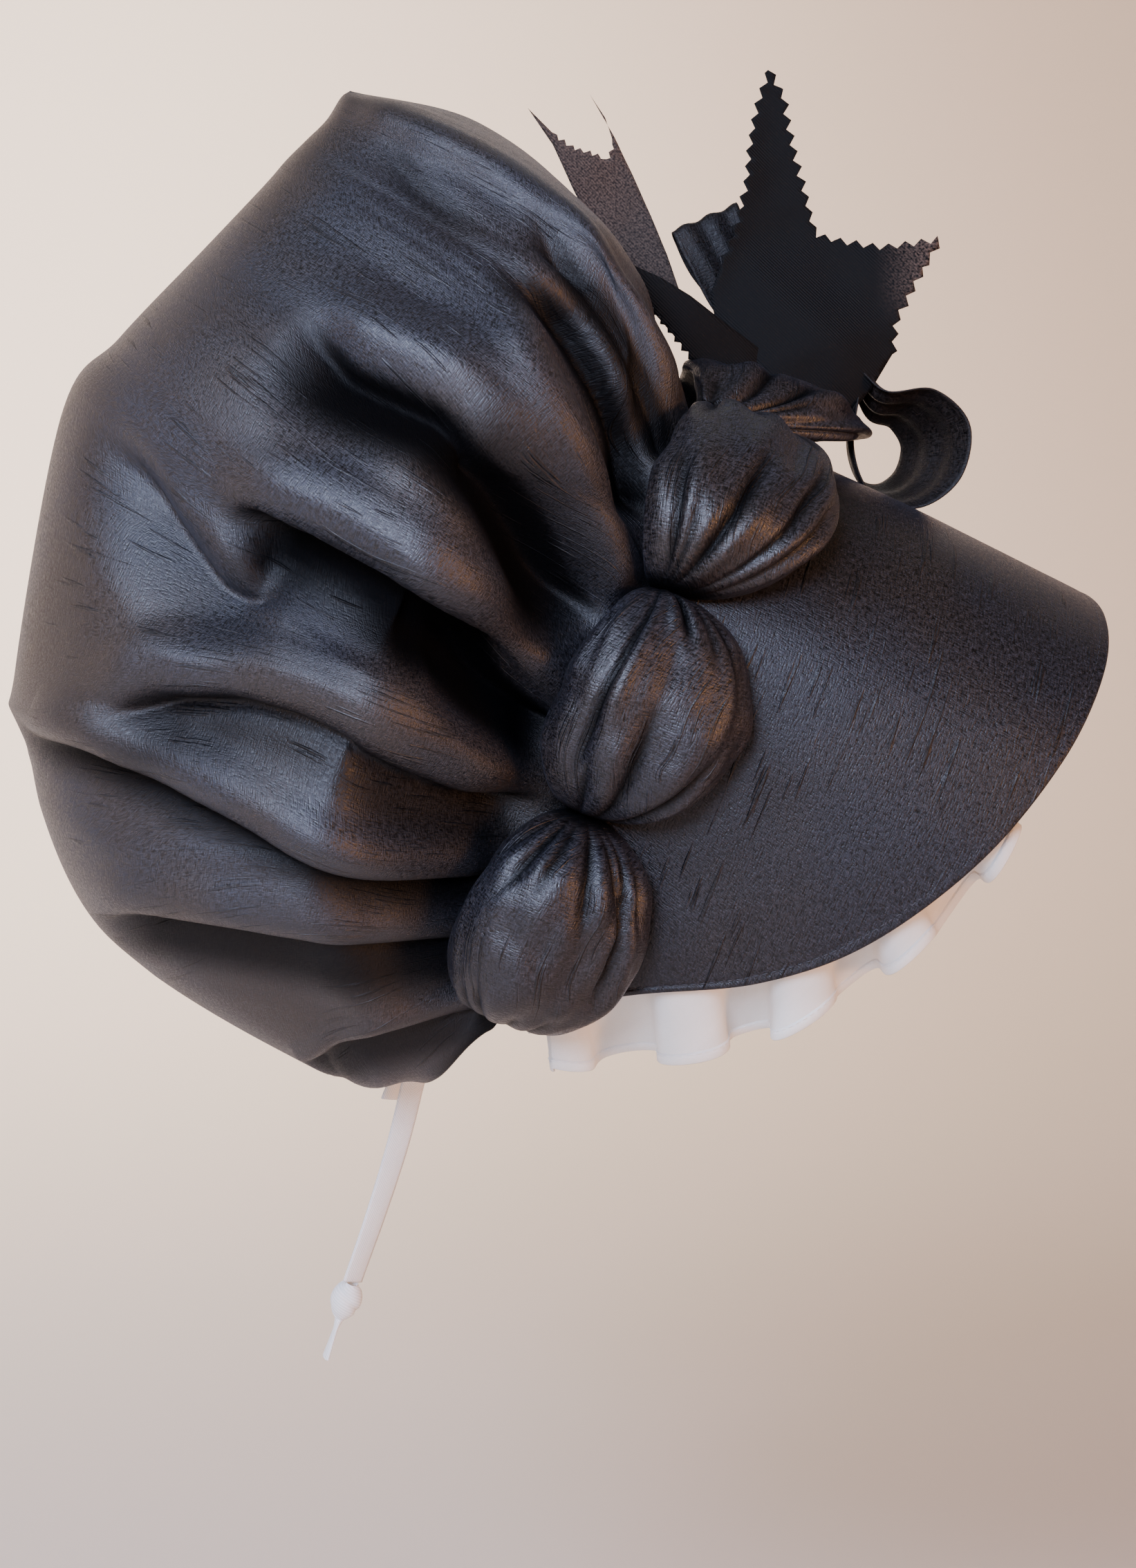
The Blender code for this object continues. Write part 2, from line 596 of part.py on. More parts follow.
# The knot in the tape: a round lump, then the short tail that flares out of it flat
def add_tape_knot():
    points = tape_points()
    way = (points[-1] - points[-2]).normalized()
    start = points[-1] + way * GAP
    front = Vector((1, 0, 0)).cross(way).normalized()
    rings = []
    for section in TAPE_KNOT:
        middle = start + way * (TAPE_KNOT_LENGTH * section.knot + TAPE_TAIL_LENGTH * section.tail)
        turns = [2 * math.pi * k / KNOT_SIDES for k in range(KNOT_SIDES)]
        rings.append([middle + front * math.cos(turn) * section.deep * TAPE_WIDTH
                      + Vector((math.sin(turn) * section.wide * TAPE_WIDTH, 0, 0)) for turn in turns])
    return add_object("nape_tape_knot", ring_mesh("nape_tape_knot", rings), (0.78, 0.78, 0.77), 0.8)


def build():
    for existing in list(bpy.data.objects):
        bpy.data.objects.remove(existing, do_unlink=True)
    collection = bpy.data.collections.new("poke_bonnet")
    bpy.context.scene.collection.children.link(collection)
    add_crown()
    add_brim()
    for number in range(PUFF_COUNT):
        add_puff(number)
    add_frill()
    add_bow_knot()
    for name, strip in BOW_STRIPS.items():
        add_strip(name, strip)
    for name, loop in BOW_LOOPS.items():
        add_loop(name, loop)
    add_cord("nape_tape", tape_points(), TAPE_WIDTH)
    add_cord("nape_tape_end", tape_end_points(), TAPE_WIDTH)
    add_tape_knot()


build()
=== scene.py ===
# A black silk poke bonnet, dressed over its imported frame. Metres, +Z up, the face looks along -Y
# and the wearer's right side is -X. Sewn shapes are given in the join's own frame: x sideways,
# along up the plane in which crown and brim meet, back square to it.

import math
import random
from functools import partial

import bpy
import numpy as np
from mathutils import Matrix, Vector, noise
from mathutils.geometry import delaunay_2d_cdt


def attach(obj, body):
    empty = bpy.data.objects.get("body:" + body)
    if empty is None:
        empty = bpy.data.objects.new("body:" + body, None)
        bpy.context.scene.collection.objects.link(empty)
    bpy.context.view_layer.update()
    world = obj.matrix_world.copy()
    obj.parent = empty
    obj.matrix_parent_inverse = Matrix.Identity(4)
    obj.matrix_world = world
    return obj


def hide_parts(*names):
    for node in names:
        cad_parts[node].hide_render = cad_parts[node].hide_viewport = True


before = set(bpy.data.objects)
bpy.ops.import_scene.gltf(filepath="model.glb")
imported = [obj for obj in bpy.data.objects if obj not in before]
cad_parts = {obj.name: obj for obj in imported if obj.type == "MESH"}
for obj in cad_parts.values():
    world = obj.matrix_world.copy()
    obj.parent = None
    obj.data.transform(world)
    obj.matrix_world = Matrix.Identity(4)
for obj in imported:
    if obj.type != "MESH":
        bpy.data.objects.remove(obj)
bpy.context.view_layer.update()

mm = 0.001
gap = 0.0003


def linear(hexColour):
    parts = [int(hexColour[i:i + 2], 16) / 255 for i in (1, 3, 5)]
    return tuple(p / 12.92 if p <= 0.04045 else ((p + 0.055) / 1.055) ** 2.4 for p in parts) + (1.0,)


# Adds a node: settings are its own properties, inputs its sockets by name or number. A socket given
# as an input becomes a link, and a node stands for its first output. Shader nodes go by the short
# form of their kind.
def addNode(tree, kind, inputs=None, settings=None):
    node = tree.nodes.new(kind if "Node" in kind else "ShaderNode" + kind)
    for name, value in (settings or {}).items():
        setattr(node, name, value)
    for name, value in (inputs or {}).items():
        if isinstance(value, bpy.types.Node):
            value = value.outputs[0]
        if isinstance(value, bpy.types.NodeSocket):
            tree.links.new(value, node.inputs[name])
        else:
            node.inputs[name].default_value = value
    return node


softly = {"interpolation_type": "SMOOTHSTEP"}
blend = {"data_type": "RGBA"}  # factor 0, colours 6 and 7, result 2
plus, times = {"operation": "ADD"}, {"operation": "MULTIPLY"}


# A material without nodes yet, and the call that adds one to it
def newMaterial(name):
    material = bpy.data.materials.new(name)
    material.use_nodes = True
    material.node_tree.nodes.clear()
    return material, partial(addNode, material.node_tree)


def smooth(value):
    value = np.clip(value, 0.0, 1.0)
    return value * value * (3 - 2 * value)


def unit(vectors):
    return vectors / np.maximum(np.linalg.norm(vectors, axis=-1, keepdims=True), 1e-12)


# A smooth curve through points, read at where, which counts the points from 0
def through(points, where):
    points = np.asarray(points, float)
    where = np.clip(np.asarray(where, float), 0, len(points) - 1)
    padded = np.concatenate([[2 * points[0] - points[1]], points, [2 * points[-1] - points[-2]]])
    step = np.minimum(where.astype(int), len(points) - 2)
    part = (where - step).reshape(where.shape + (1,) * (points.ndim - 1))
    before, here, there, after = (padded[step + k] for k in range(4))
    return (here * 2 + (there - before) * part + (before * 2 - here * 5 + there * 4 - after) * part ** 2
            + (here * 3 - before - there * 3 + after) * part ** 3) * 0.5


# The way along each row of a grid, summed from its first point
def runAlong(points):
    steps = np.linalg.norm(np.diff(points, axis=-2), axis=-1)
    return np.concatenate([np.zeros(steps.shape[:-1] + (1,)), np.cumsum(steps, axis=-1)], axis=-1)


# Smooth random height with cells of size 1, the same on each run
def ripple(first, second, seed, octaves=2):
    first, second = np.broadcast_arrays(first, second)
    flat = [noise.fractal(Vector((a, b, seed * 7.31)), 1.0, 2.0, octaves)
            for a, b in zip(np.ravel(first), np.ravel(second))]
    return np.array(flat).reshape(first.shape)


def addObject(name, data):
    made = bpy.data.objects.new(name, data)
    bpy.context.scene.collection.objects.link(made)
    return made


# The crease attribute: for each vertex, how much painted shade it gets in folds, pinches and at the join, from
# 0 to 1
def addMesh(name, verts, faces, uvs=None, material=None, paintedShade=None):
    mesh = bpy.data.meshes.new(name)
    mesh.from_pydata(np.asarray(verts).reshape(-1, 3).tolist(), [], faces)
    if uvs is not None:
        layer = mesh.uv_layers.new(name="cloth")
        corners = np.empty(len(mesh.loops), dtype=np.int32)
        mesh.loops.foreach_get("vertex_index", corners)
        layer.data.foreach_set("uv", np.asarray(uvs).reshape(-1, 2)[corners].ravel())
    if paintedShade is not None:
        layer = mesh.attributes.new("crease", "FLOAT", "POINT")
        layer.data.foreach_set("value", np.asarray(paintedShade, np.float32).ravel())
    mesh.shade_smooth()
    mesh.update()
    if material:
        mesh.materials.append(material)
    return addObject(name, mesh)


# Vertex numbers of a grid; closed puts the first column again at the end
def gridNumbers(rows, columns, closed=False):
    numbers = np.arange(rows * columns).reshape(rows, columns)
    return np.concatenate([numbers, numbers[:, :1]], axis=1) if closed else numbers


# Faces of a grid of rows and columns, from its vertex numbers
def gridFaces(numbers, flip=False):
    a, b, c, d = numbers[:-1, :-1], numbers[1:, :-1], numbers[1:, 1:], numbers[:-1, 1:]
    return np.stack([a, d, c, b] if flip else [a, b, c, d], -1).reshape(-1, 4).tolist()


# Faces of a tube with flat ends
def tubeFaces(rings, sides, flip=False):
    numbers = gridNumbers(rings, sides, closed=True)
    first, last = numbers[0, :-1], numbers[-1, :-1]
    ends = [first, last[::-1]] if flip else [first[::-1], last]
    return gridFaces(numbers, flip) + [end.tolist() for end in ends]


def applyModifiers(made):
    ready = made.evaluated_get(bpy.context.evaluated_depsgraph_get())
    result, old = bpy.data.meshes.new_from_object(ready), made.data
    made.modifiers.clear()
    made.data = result
    bpy.data.meshes.remove(old)
    return made


def addThickness(made, thickness):
    wall = made.modifiers.new("cloth", "SOLIDIFY")
    wall.thickness = thickness
    wall.offset = 0.0
    wall.use_even_offset = False
    return applyModifiers(made)


# Node tree that lays one small stitch after another along a line of edges
def stitchTree():
    tree = bpy.data.node_groups.new("stitches along a line", "GeometryNodeTree")
    for name, kind in (("Line", "Geometry"), ("Count", "Int"), ("Thread", "Float"), ("Length", "Float"),
                       ("Material", "Material")):
        tree.interface.new_socket(name=name, in_out="INPUT", socket_type="NodeSocket" + kind)
    tree.interface.new_socket(name="Stitches", in_out="OUTPUT", socket_type="NodeSocketGeometry")
    add = partial(addNode, tree)
    given = add("NodeGroupInput")
    curve = add("GeometryNodeMeshToCurve", {0: given.outputs["Line"]})
    spots = add("GeometryNodeCurveToPoints", {"Curve": curve, "Count": given.outputs["Count"]})
    ball = add("GeometryNodeMeshUVSphere", {"Segments": 8, "Rings": 5, "Radius": 0.5})
    size = add("CombineXYZ", {0: given.outputs["Thread"], 1: given.outputs["Thread"],
        2: given.outputs["Length"]})
    laid = add("GeometryNodeInstanceOnPoints", {"Points": spots.outputs["Points"],
        "Instance": ball.outputs["Mesh"], "Rotation": spots.outputs["Rotation"], "Scale": size})
    real = add("GeometryNodeRealizeInstances", {0: laid})
    dressed = add("GeometryNodeSetMaterial", {"Geometry": real, "Material": given.outputs["Material"]})
    add("NodeGroupOutput", {0: dressed})
    return tree


# Sewing stitches, in metres: one every, its length, the thread's thickness
edgeStitch = {"every": 0.0032, "long": 0.0022, "thread": 0.00045}
hemStitch = {"every": 0.0030, "long": 0.0018, "thread": 0.00035}


def addStitches(name, line, stitch, material):
    mesh = bpy.data.meshes.new(name)
    mesh.from_pydata(np.asarray(line).tolist(), [(k, k + 1) for k in range(len(line) - 1)], [])
    made = addObject(name, mesh)
    sewing = made.modifiers.new("sewing", "NODES")
    sewing.node_group = stitchTree()
    values = {"Count": int(runAlong(np.asarray(line))[-1] / stitch["every"]), "Thread": stitch["thread"],
              "Length": stitch["long"], "Material": material}
    for item in sewing.node_group.interface.items_tree:
        if item.in_out == "INPUT" and item.name in values:
            sewing[item.identifier] = values[item.name]
    made.update_tag()
    applyModifiers(made)
    made.data.shade_smooth()
    finishPiece(made)
    print(name, len(made.data.polygons), "faces")


# Sewing thread: round, smooth and a little brighter than the cloth beside it
def threadMaterial(name, colour):
    material, add = newMaterial(name)
    spot = add("TexCoord")
    twist = add("TexNoise", {"Vector": spot.outputs["Object"], "Scale": 3000.0})
    rough = add("MapRange", {"Value": twist, "To Min": 0.4, "To Max": 0.65})
    cotton = add("BsdfPrincipled", {"Base Color": linear(colour), "Roughness": rough, "IOR": 1.53})
    add("OutputMaterial", {"Surface": cotton})
    return material


def finishPiece(piece, nodes=()):
    for node in nodes:
        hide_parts(node)
    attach(piece, "root")


# The camera stands on the wearer's right; upAndDown is its view in degrees
view = {"place": (-0.93946539, 0.0609484, 0.09998729), "target": (0.0, 0.01171311, -0.03222716),
        "upAndDown": 35.74}


def lookAt(made, spot, aim):
    made.location = spot
    made.rotation_euler = (Vector(aim) - Vector(spot)).to_track_quat("-Z", "Y").to_euler()


def addCamera():
    data = bpy.data.cameras.new("camera")
    data.sensor_fit = "VERTICAL"
    data.sensor_height = 24
    data.lens = data.sensor_height / 2 / math.tan(math.radians(view["upAndDown"] / 2))
    camera = addObject("camera", data)
    lookAt(camera, view["place"], view["target"])
    bpy.context.scene.camera = camera


studio = {
    "floor": -0.46, "flatTo": 1.3, "wallAt": 2.6, "wallTop": 2.4,
    "cream": "#f2e7da", "shadedTaupe": "#b9a695",
    "lamps": [  # name, place, aims at, width, height, watts, colour, spread in degrees
        ("front window", (-1.6, 0.42, 0.62), (0, 0.03, 0.02), 0.5, 0.5, 38, "#cddbff", 180),
        ("sky window", (-1.1, 1.0, 1.2), (0, 0.05, 0.05), 0.7, 0.5, 34, "#d0deff", 180),
        ("warm lamp", (-1.2, -1.5, 0.1), (0, 0, 0), 0.5, 0.5, 22, "#ffb880", 180),
        ("wall lamp", (0.7, 0.3, 1.9), (2.6, 0.3, -0.4), 1.6, 1.2, 50, "#fff0e2", 100),
        ("back window", (1.3, -0.4, 1.2), (0, 0, 0.05), 1.2, 1.0, 3, "#f3f1ee", 180),
    ],
}


def addStudio():
    world = bpy.data.worlds.new("room")
    world.use_nodes = True
    world.node_tree.nodes.clear()
    tint = addNode(world.node_tree, "Background", {"Color": linear("#e2d3c4"), "Strength": 0.25})
    addNode(world.node_tree, "OutputWorld", {"Surface": tint})
    bpy.context.scene.world = world
    for name, spot, aim, wide, high, watts, colour, spread in studio["lamps"]:
        data = bpy.data.lights.new(name, "AREA")
        data.shape = "RECTANGLE"
        data.size, data.size_y = wide, high
        data.energy = watts
        data.spread = math.radians(spread)
        data.color = linear(colour)[:3]
        lookAt(addObject(name, data), spot, aim)
    # The floor rises to a round wall, like a roll of backdrop paper
    radii = [0.02, 0.5, 0.9, studio["flatTo"]]
    lifts = [0.0, 0.0, 0.0, 0.0]
    bend = studio["wallAt"] - studio["flatTo"]
    for k in range(1, 17):
        turn = math.pi / 2 * k / 16
        radii.append(studio["flatTo"] + bend * math.sin(turn))
        lifts.append(bend * (1 - math.cos(turn)))
    radii.append(studio["wallAt"])
    lifts.append(studio["wallTop"])
    sides = 96
    turns = np.linspace(0, 2 * math.pi, sides + 1)[:-1]
    rings = [[(r * math.cos(a), r * math.sin(a), studio["floor"] + z) for a in turns]
             for r, z in zip(radii, lifts)]
    paper, add = newMaterial("backdrop paper")
    spot = add("TexCoord")
    parts = add("SeparateXYZ", {0: spot.outputs["Object"]})
    # Painted shade: the paper goes from cream on the +Y side to a darker taupe towards -Y
    share = add("MapRange", {"Value": parts.outputs["Y"], "From Min": -1.0, "From Max": 0.9}, softly)
    colour = add("Mix", {0: share, 6: linear(studio["shadedTaupe"]), 7: linear(studio["cream"])}, blend)
    matt = add("BsdfPrincipled", {"Base Color": colour.outputs[2], "Roughness": 0.9})
    add("OutputMaterial", {"Surface": matt})
    faces = gridFaces(gridNumbers(len(radii), sides, closed=True), flip=True) + [list(range(sides))]
    addMesh("floor", rings, faces, material=paper)


# The line in which crown and brim meet: an arch over the top, then down on both sides
join = {"lean": math.radians(20), "halfWidth": 0.092, "archRise": 0.088, "spring": 0.030, "side": 0.141,
        "cheek": 0.081}


def place(points):
    points = np.asarray(points, float)
    leanSin, leanCos = math.sin(join["lean"]), math.cos(join["lean"])
    x, along, back = points[..., 0], points[..., 1], points[..., 2]
    return np.stack([x, back * leanCos - along * leanSin, along * leanCos + back * leanSin], -1)


def archTable():
    turn = np.linspace(0, math.pi / 2, 241)
    top = np.stack([join["halfWidth"] * np.sin(turn), join["spring"] + join["archRise"] * np.cos(turn)], -1)
    down = np.linspace(0, 1, 241)[1:]
    low = np.stack([join["halfWidth"] - (join["halfWidth"] - join["cheek"]) * down ** 2,
                    join["spring"] - join["side"] * down], -1)
    spots = np.concatenate([top, low])
    return spots, runAlong(spots)


archSpots, archRuns = archTable()
archAhead = unit(np.gradient(archSpots, archRuns, axis=0))
halfJoin = archRuns[-1]


# The arch at run, the way along it from the top, + to the wearer's left: x and along, and the
# direction that points outwards
def joinArch(run):
    run = np.asarray(run, float)
    side = np.where(run >= 0, 1.0, -1.0)
    read = [np.interp(np.abs(run), archRuns, column) for column in (*archSpots.T, *archAhead.T)]
    return np.stack([read[0] * side, read[1]], -1), unit(np.stack([-read[3] * side, read[2]], -1))


# In metres, from the real cloth; grain and floats are drawn coarser than they are
clothNumbers = {"slubGap": 0.0011, "slubLength": 0.035, "grain": 0.0006, "floatLength": 0.0024,
                "ribbonTwill": 0.0013, "tapeTwill": 0.0011}


# Silk dupioni: a smooth black silk with thicker yarns here and there. Soft wide gloss from the
# filament yarns, blue where it looks up at the window, brown where thin light gets into the cloth.
def silkDupioni(name, cool, warm, roughness=0.44, slubs=1.0, sheen=0.03, gloss=0.34):
    material, add = newMaterial(name)
    cloth = add("UVMap", settings={"uv_map": "cloth"})
    spot = add("TexCoord")
    across, along = 1 / clothNumbers["slubGap"], 1 / clothNumbers["slubLength"]
    fine, long = 1 / clothNumbers["grain"], 1 / clothNumbers["floatLength"]
    yarnSpot = add("Mapping", {"Vector": cloth, "Scale": (across, along, 1.0)})
    yarn = add("TexNoise", {"Vector": yarnSpot, "Scale": 1.0, "Detail": 3.0})
    slubSpot = add("Mapping", {"Vector": cloth, "Scale": (across * 0.55, along * 0.8, 1.0),
        "Location": (3.1, 1.7, 0.0)})
    slub = add("TexNoise", {"Vector": slubSpot, "Scale": 1.0, "Detail": 1.0})
    patch = add("TexNoise", {"Vector": cloth, "Scale": 26.0, "Detail": 1.0})
    slubLine = add("MapRange", {"Value": slub, "From Min": 0.61, "From Max": 0.69}, softly)
    slubPatch = add("MapRange", {"Value": patch, "From Min": 0.43, "From Max": 0.58}, softly)
    slubShown = add("Math", {0: slubLine, 1: slubPatch}, times)
    # Warp and weft are finer than the picture can show, so they are drawn about three times too coarse
    threads = []
    for scale in ((fine, long, 1.0), (long, fine, 1.0)):
        laid = add("Mapping", {"Vector": cloth, "Scale": scale})
        threads.append(add("TexNoise", {"Vector": laid, "Scale": 1.0, "Detail": 1.0}))
    both = add("Math", {0: threads[0], 1: threads[1]}, plus)
    grain = add("Math", {0: both, 1: 0.5}, times)
    cloud = add("TexNoise", {"Vector": spot.outputs["Object"], "Scale": 14.0, "Detail": 2.0})
    shade = add("MapRange", {"Value": cloud, "From Min": 0.35, "From Max": 0.7}, softly)
    dye = add("Mix", {0: shade, 6: linear(cool), 7: linear(warm)}, blend)
    speck = add("MapRange", {"Value": grain, "From Min": 0.38, "From Max": 0.64, "To Min": 0.2,
        "To Max": 2.8})
    speckled = add("VectorMath", {0: dye.outputs[2], "Scale": speck}, {"operation": "SCALE"})
    # Painted glints: single filaments that catch the light are painted as pale grey specks in the colour
    fleck = add("TexNoise", {"Vector": spot.outputs["Object"], "Scale": 1400.0, "Detail": 1.0})
    lit = add("MapRange", {"Value": fleck, "From Min": 0.56, "From Max": 0.72, "To Max": 0.30 * slubs})
    paintedGlints = add("Mix", {0: lit, 6: speckled, 7: linear("#474650")}, blend)
    dark = add("Math", {0: slubShown, 1: 0.7 * slubs}, times)
    coloured = add("Mix", {0: dark, 6: paintedGlints.outputs[2], 7: linear("#040406")}, blend)
    # Painted shade: the crease attribute takes the colour to near black in folds, pinches and at the join
    fold = add("Attribute", settings={"attribute_name": "crease"})
    withPaintedShade = add("Mix", {0: fold.outputs["Fac"], 6: coloured.outputs[2], 7: linear("#010102")}, blend)
    rough = add("MapRange", {"Value": grain, "From Min": 0.38, "From Max": 0.62,
        "To Min": roughness - 0.12, "To Max": roughness + 0.14})
    grainLift = add("Bump", {"Strength": 0.85, "Distance": 0.0005, "Height": grain})
    yarnLift = add("Bump", {"Strength": 0.16 * slubs, "Distance": 0.0003, "Height": yarn,
        "Normal": grainLift})
    slubLift = add("Bump", {"Strength": 0.8 * slubs, "Distance": 0.0006, "Height": slubShown,
        "Normal": yarnLift})
    silk = add("BsdfPrincipled", {"Base Color": withPaintedShade.outputs[2], "Roughness": rough, "Metallic": 0.0,
        "IOR": 1.54, "Specular IOR Level": gloss, "Sheen Weight": sheen, "Sheen Roughness": 0.35,
        "Sheen Tint": linear("#8e97b4"), "Normal": slubLift})
    # Painted shade: deep in a fold the silk is mixed, by the crease attribute, into a near-black matt shader
    # with hardly any gloss
    shadow = add("BsdfPrincipled", {"Base Color": linear("#030304"), "Roughness": 0.8, "IOR": 1.54,
        "Specular IOR Level": 0.04, "Normal": slubLift})
    cover = add("MixShader", {0: fold.outputs["Fac"], 1: silk, 2: shadow})
    add("OutputMaterial", {"Surface": cover})
    return material


# Matt twill ribbon: fine slanting lines, with brown specks beyond brownFrom and towards the top, painted warm
# light on that part of the ribbon
def twillRibbon(name, dark, brown, brownFrom):
    material, add = newMaterial(name)
    cloth = add("UVMap", settings={"uv_map": "cloth"})
    parts = add("SeparateXYZ", {0: cloth})
    slant = add("Math", {0: parts.outputs["X"], 1: parts.outputs["Y"]}, plus)
    turns = add("Math", {0: slant, 1: 2 * math.pi / clothNumbers["ribbonTwill"]}, times)
    line = add("Math", {0: turns}, {"operation": "SINE"})
    speck = add("TexNoise", {"Vector": cloth, "Scale": 1100.0, "Detail": 2.0})
    shown = add("MapRange", {"Value": speck, "From Min": 0.38, "From Max": 0.62})
    # Painted warm light: where the brown specks show
    edge = add("MapRange", {"Value": parts.outputs["X"], "From Min": brownFrom - 0.012,
        "From Max": brownFrom + 0.010}, softly)
    above = add("MapRange", {"Value": parts.outputs["Y"], "From Min": 0.014, "From Max": 0.032}, softly)
    band = add("Math", {0: edge, 1: above}, times)
    share = add("Math", {0: shown, 1: band}, times)
    tint = add("Mix", {0: share, 6: linear(dark), 7: linear(brown)}, blend)
    height = add("Math", {0: line, 1: speck}, plus)
    lift = add("Bump", {"Strength": 0.35, "Distance": 0.0003, "Height": height})
    twill = add("BsdfPrincipled", {"Base Color": tint.outputs[2], "Roughness": 0.72, "IOR": 1.5,
        "Specular IOR Level": 0.16, "Normal": lift})
    add("OutputMaterial", {"Surface": twill})
    return material


# Fine cotton for frill and tape: thin, matt and a little see-through where the light is behind it
def whiteCotton(name, tint, weave, lines=0.0):
    material, add = newMaterial(name)
    cloth = add("UVMap", settings={"uv_map": "cloth"})
    thread = add("TexNoise", {"Vector": cloth, "Scale": 1 / weave, "Detail": 2.0})
    cloud = add("TexNoise", {"Vector": cloth, "Scale": 60.0, "Detail": 3.0})
    # Herringbone: two slants of twill lines that meet down the middle of the tape
    parts = add("SeparateXYZ", {0: cloth})
    fold = add("Math", {0: parts.outputs["X"]}, {"operation": "ABSOLUTE"})
    slant = add("Math", {0: fold, 1: parts.outputs["Y"]}, plus)
    turns = add("Math", {0: slant, 1: 2 * math.pi / clothNumbers["tapeTwill"]}, times)
    twill = add("Math", {0: turns}, {"operation": "SINE"})
    amount = add("Math", {0: twill, 1: lines}, times)
    height = add("Math", {0: amount, 1: thread}, plus)
    shade = add("MapRange", {"Value": height, "From Min": -0.4, "From Max": 1.3, "To Min": 0.86,
        "To Max": 1.05})
    base = add("Mix", {0: cloud, 6: linear(tint), 7: linear("#f4f1ea")}, blend)
    shaded = add("VectorMath", {0: base.outputs[2], "Scale": shade}, {"operation": "SCALE"})
    lift = add("Bump", {"Strength": 0.35, "Distance": 0.0002, "Height": height})
    rough = add("MapRange", {"Value": thread, "To Min": 0.78, "To Max": 0.92})
    cotton = add("BsdfPrincipled", {"Base Color": shaded, "Roughness": rough, "IOR": 1.5,
        "Sheen Weight": 0.15, "Sheen Roughness": 0.5, "Subsurface Weight": 0.08,
        "Subsurface Radius": (0.004, 0.0035, 0.003), "Subsurface Scale": 1.0, "Normal": lift})
    add("OutputMaterial", {"Surface": cotton})
    return material


# Nape tape: white cotton twill with a knot near its end

tape = {"width": 0.0095, "length": 0.089, "way": [(0.00, 0.00), (0.08, 0.32), (0.18, 0.64), (0.29, 0.955)],
        "endLength": 0.015, "endWay": (0.30, 0.95), "knotLength": 0.016, "tailLength": 0.016,
        "thick": 0.0007, "below": 0.0016, "steps": 24}


def napePoint():
    return place([0, -0.95 * crown["drop"], 0.08 * crown["depth"]])


def tapeRoute():
    start = napePoint() + np.array([0, 0, -tape["below"] - gap * 2])
    ways = np.array([[0, back, -down] for back, down in tape["way"]]) * tape["length"] + start
    return through(ways, np.linspace(0, len(ways) - 1, tape["steps"] + 1))


def tapeEndRoute():
    start = napePoint() + np.array([tape["width"] * 1.6, tape["width"] * 0.6, -tape["below"] - gap * 2])
    back, down = tape["endWay"]
    return start + np.linspace(0, 1, 16)[:, None] * np.array([0, back, -down]) * tape["endLength"]


# A flat band along a route, with its edges turned by some degrees about the way that it runs
def addBand(name, route, width, thick, turnFrom, turnTo, material, flare=None):
    dense = through(route, np.linspace(0, len(route) - 1, 4 * len(route)))
    ahead = unit(np.gradient(dense, axis=0))
    side = unit(np.cross(ahead, np.array([1.0, 0, 0])))
    other = np.cross(side, ahead)
    run = runAlong(dense)
    turn = np.radians(turnFrom + (turnTo - turnFrom) * smooth(run / run[-1]))[:, None]
    wide = side * np.cos(turn) + other * np.sin(turn)
    flat = np.cross(ahead, wide)
    spread = np.full(len(dense), width) if flare is None else width * flare(run / run[-1])
    shares = np.linspace(-0.5, 0.5, 9)
    rows, uvs = [], []
    for number, share in enumerate(shares):
        bowl = 0.0006 * (1 - (2 * share) ** 2)
        rows.append(dense + wide * (share * spread)[:, None] + flat * bowl)
        uvs.append(np.stack([np.full(len(dense), share * width), run], -1))
    faces = gridFaces(gridNumbers(len(shares), len(dense)))
    made = addMesh(name, np.array(rows), faces, np.array(uvs), material)
    return addThickness(made, thick)


# The knot: the tape wound round itself, then the short tail that flares out of it
def addTapeKnot(material):
    route = tapeRoute()
    way = unit(route[-1] - route[-2])
    front = unit(np.cross(np.array([1.0, 0, 0]), way))
    start = route[-1] + way * gap
    sections = [(0.00, 0.00, 0.26, 0.42), (0.10, 0.00, 0.46, 0.52), (0.28, 0.00, 0.62, 0.58),
                (0.50, 0.00, 0.66, 0.62), (0.74, 0.00, 0.54, 0.52), (0.92, 0.00, 0.32, 0.36),
                (1.00, 0.00, 0.20, 0.30), (1.00, 0.25, 0.10, 0.40), (1.00, 0.50, 0.085, 0.48),
                (1.00, 0.75, 0.08, 0.56), (1.00, 0.97, 0.075, 0.62), (1.00, 1.00, 0.05, 0.60)]
    table = through(sections, np.linspace(0, len(sections) - 1, 66))
    rows, uvs, sides = [], [], 28
    for knotShare, tailShare, deep, wide in table:
        onward = tape["knotLength"] * knotShare + tape["tailLength"] * tailShare
        middle = start + way * onward
        row = []
        for k in range(sides):
            turn = 2 * math.pi * k / sides
            winding = 2 * turn + 9.0 * knotShare
            crease = 1 - 0.16 * (1 - tailShare) * max(0.0, math.cos(winding)) ** 6 * (0 < knotShare < 1)
            curl = 0.10 * tailShare * math.cos(turn * 2 + 0.6)
            row.append(middle + front * (math.cos(turn) * deep * crease + curl) * tape["width"]
                       + np.array([math.sin(turn) * wide * crease * tape["width"], 0, 0]))
            uvs.append((tape["width"] * turn / 6, onward))
        rows.append(row)
    return addMesh("nape_tape_knot_twill", rows, tubeFaces(len(rows), sides), uvs, material)


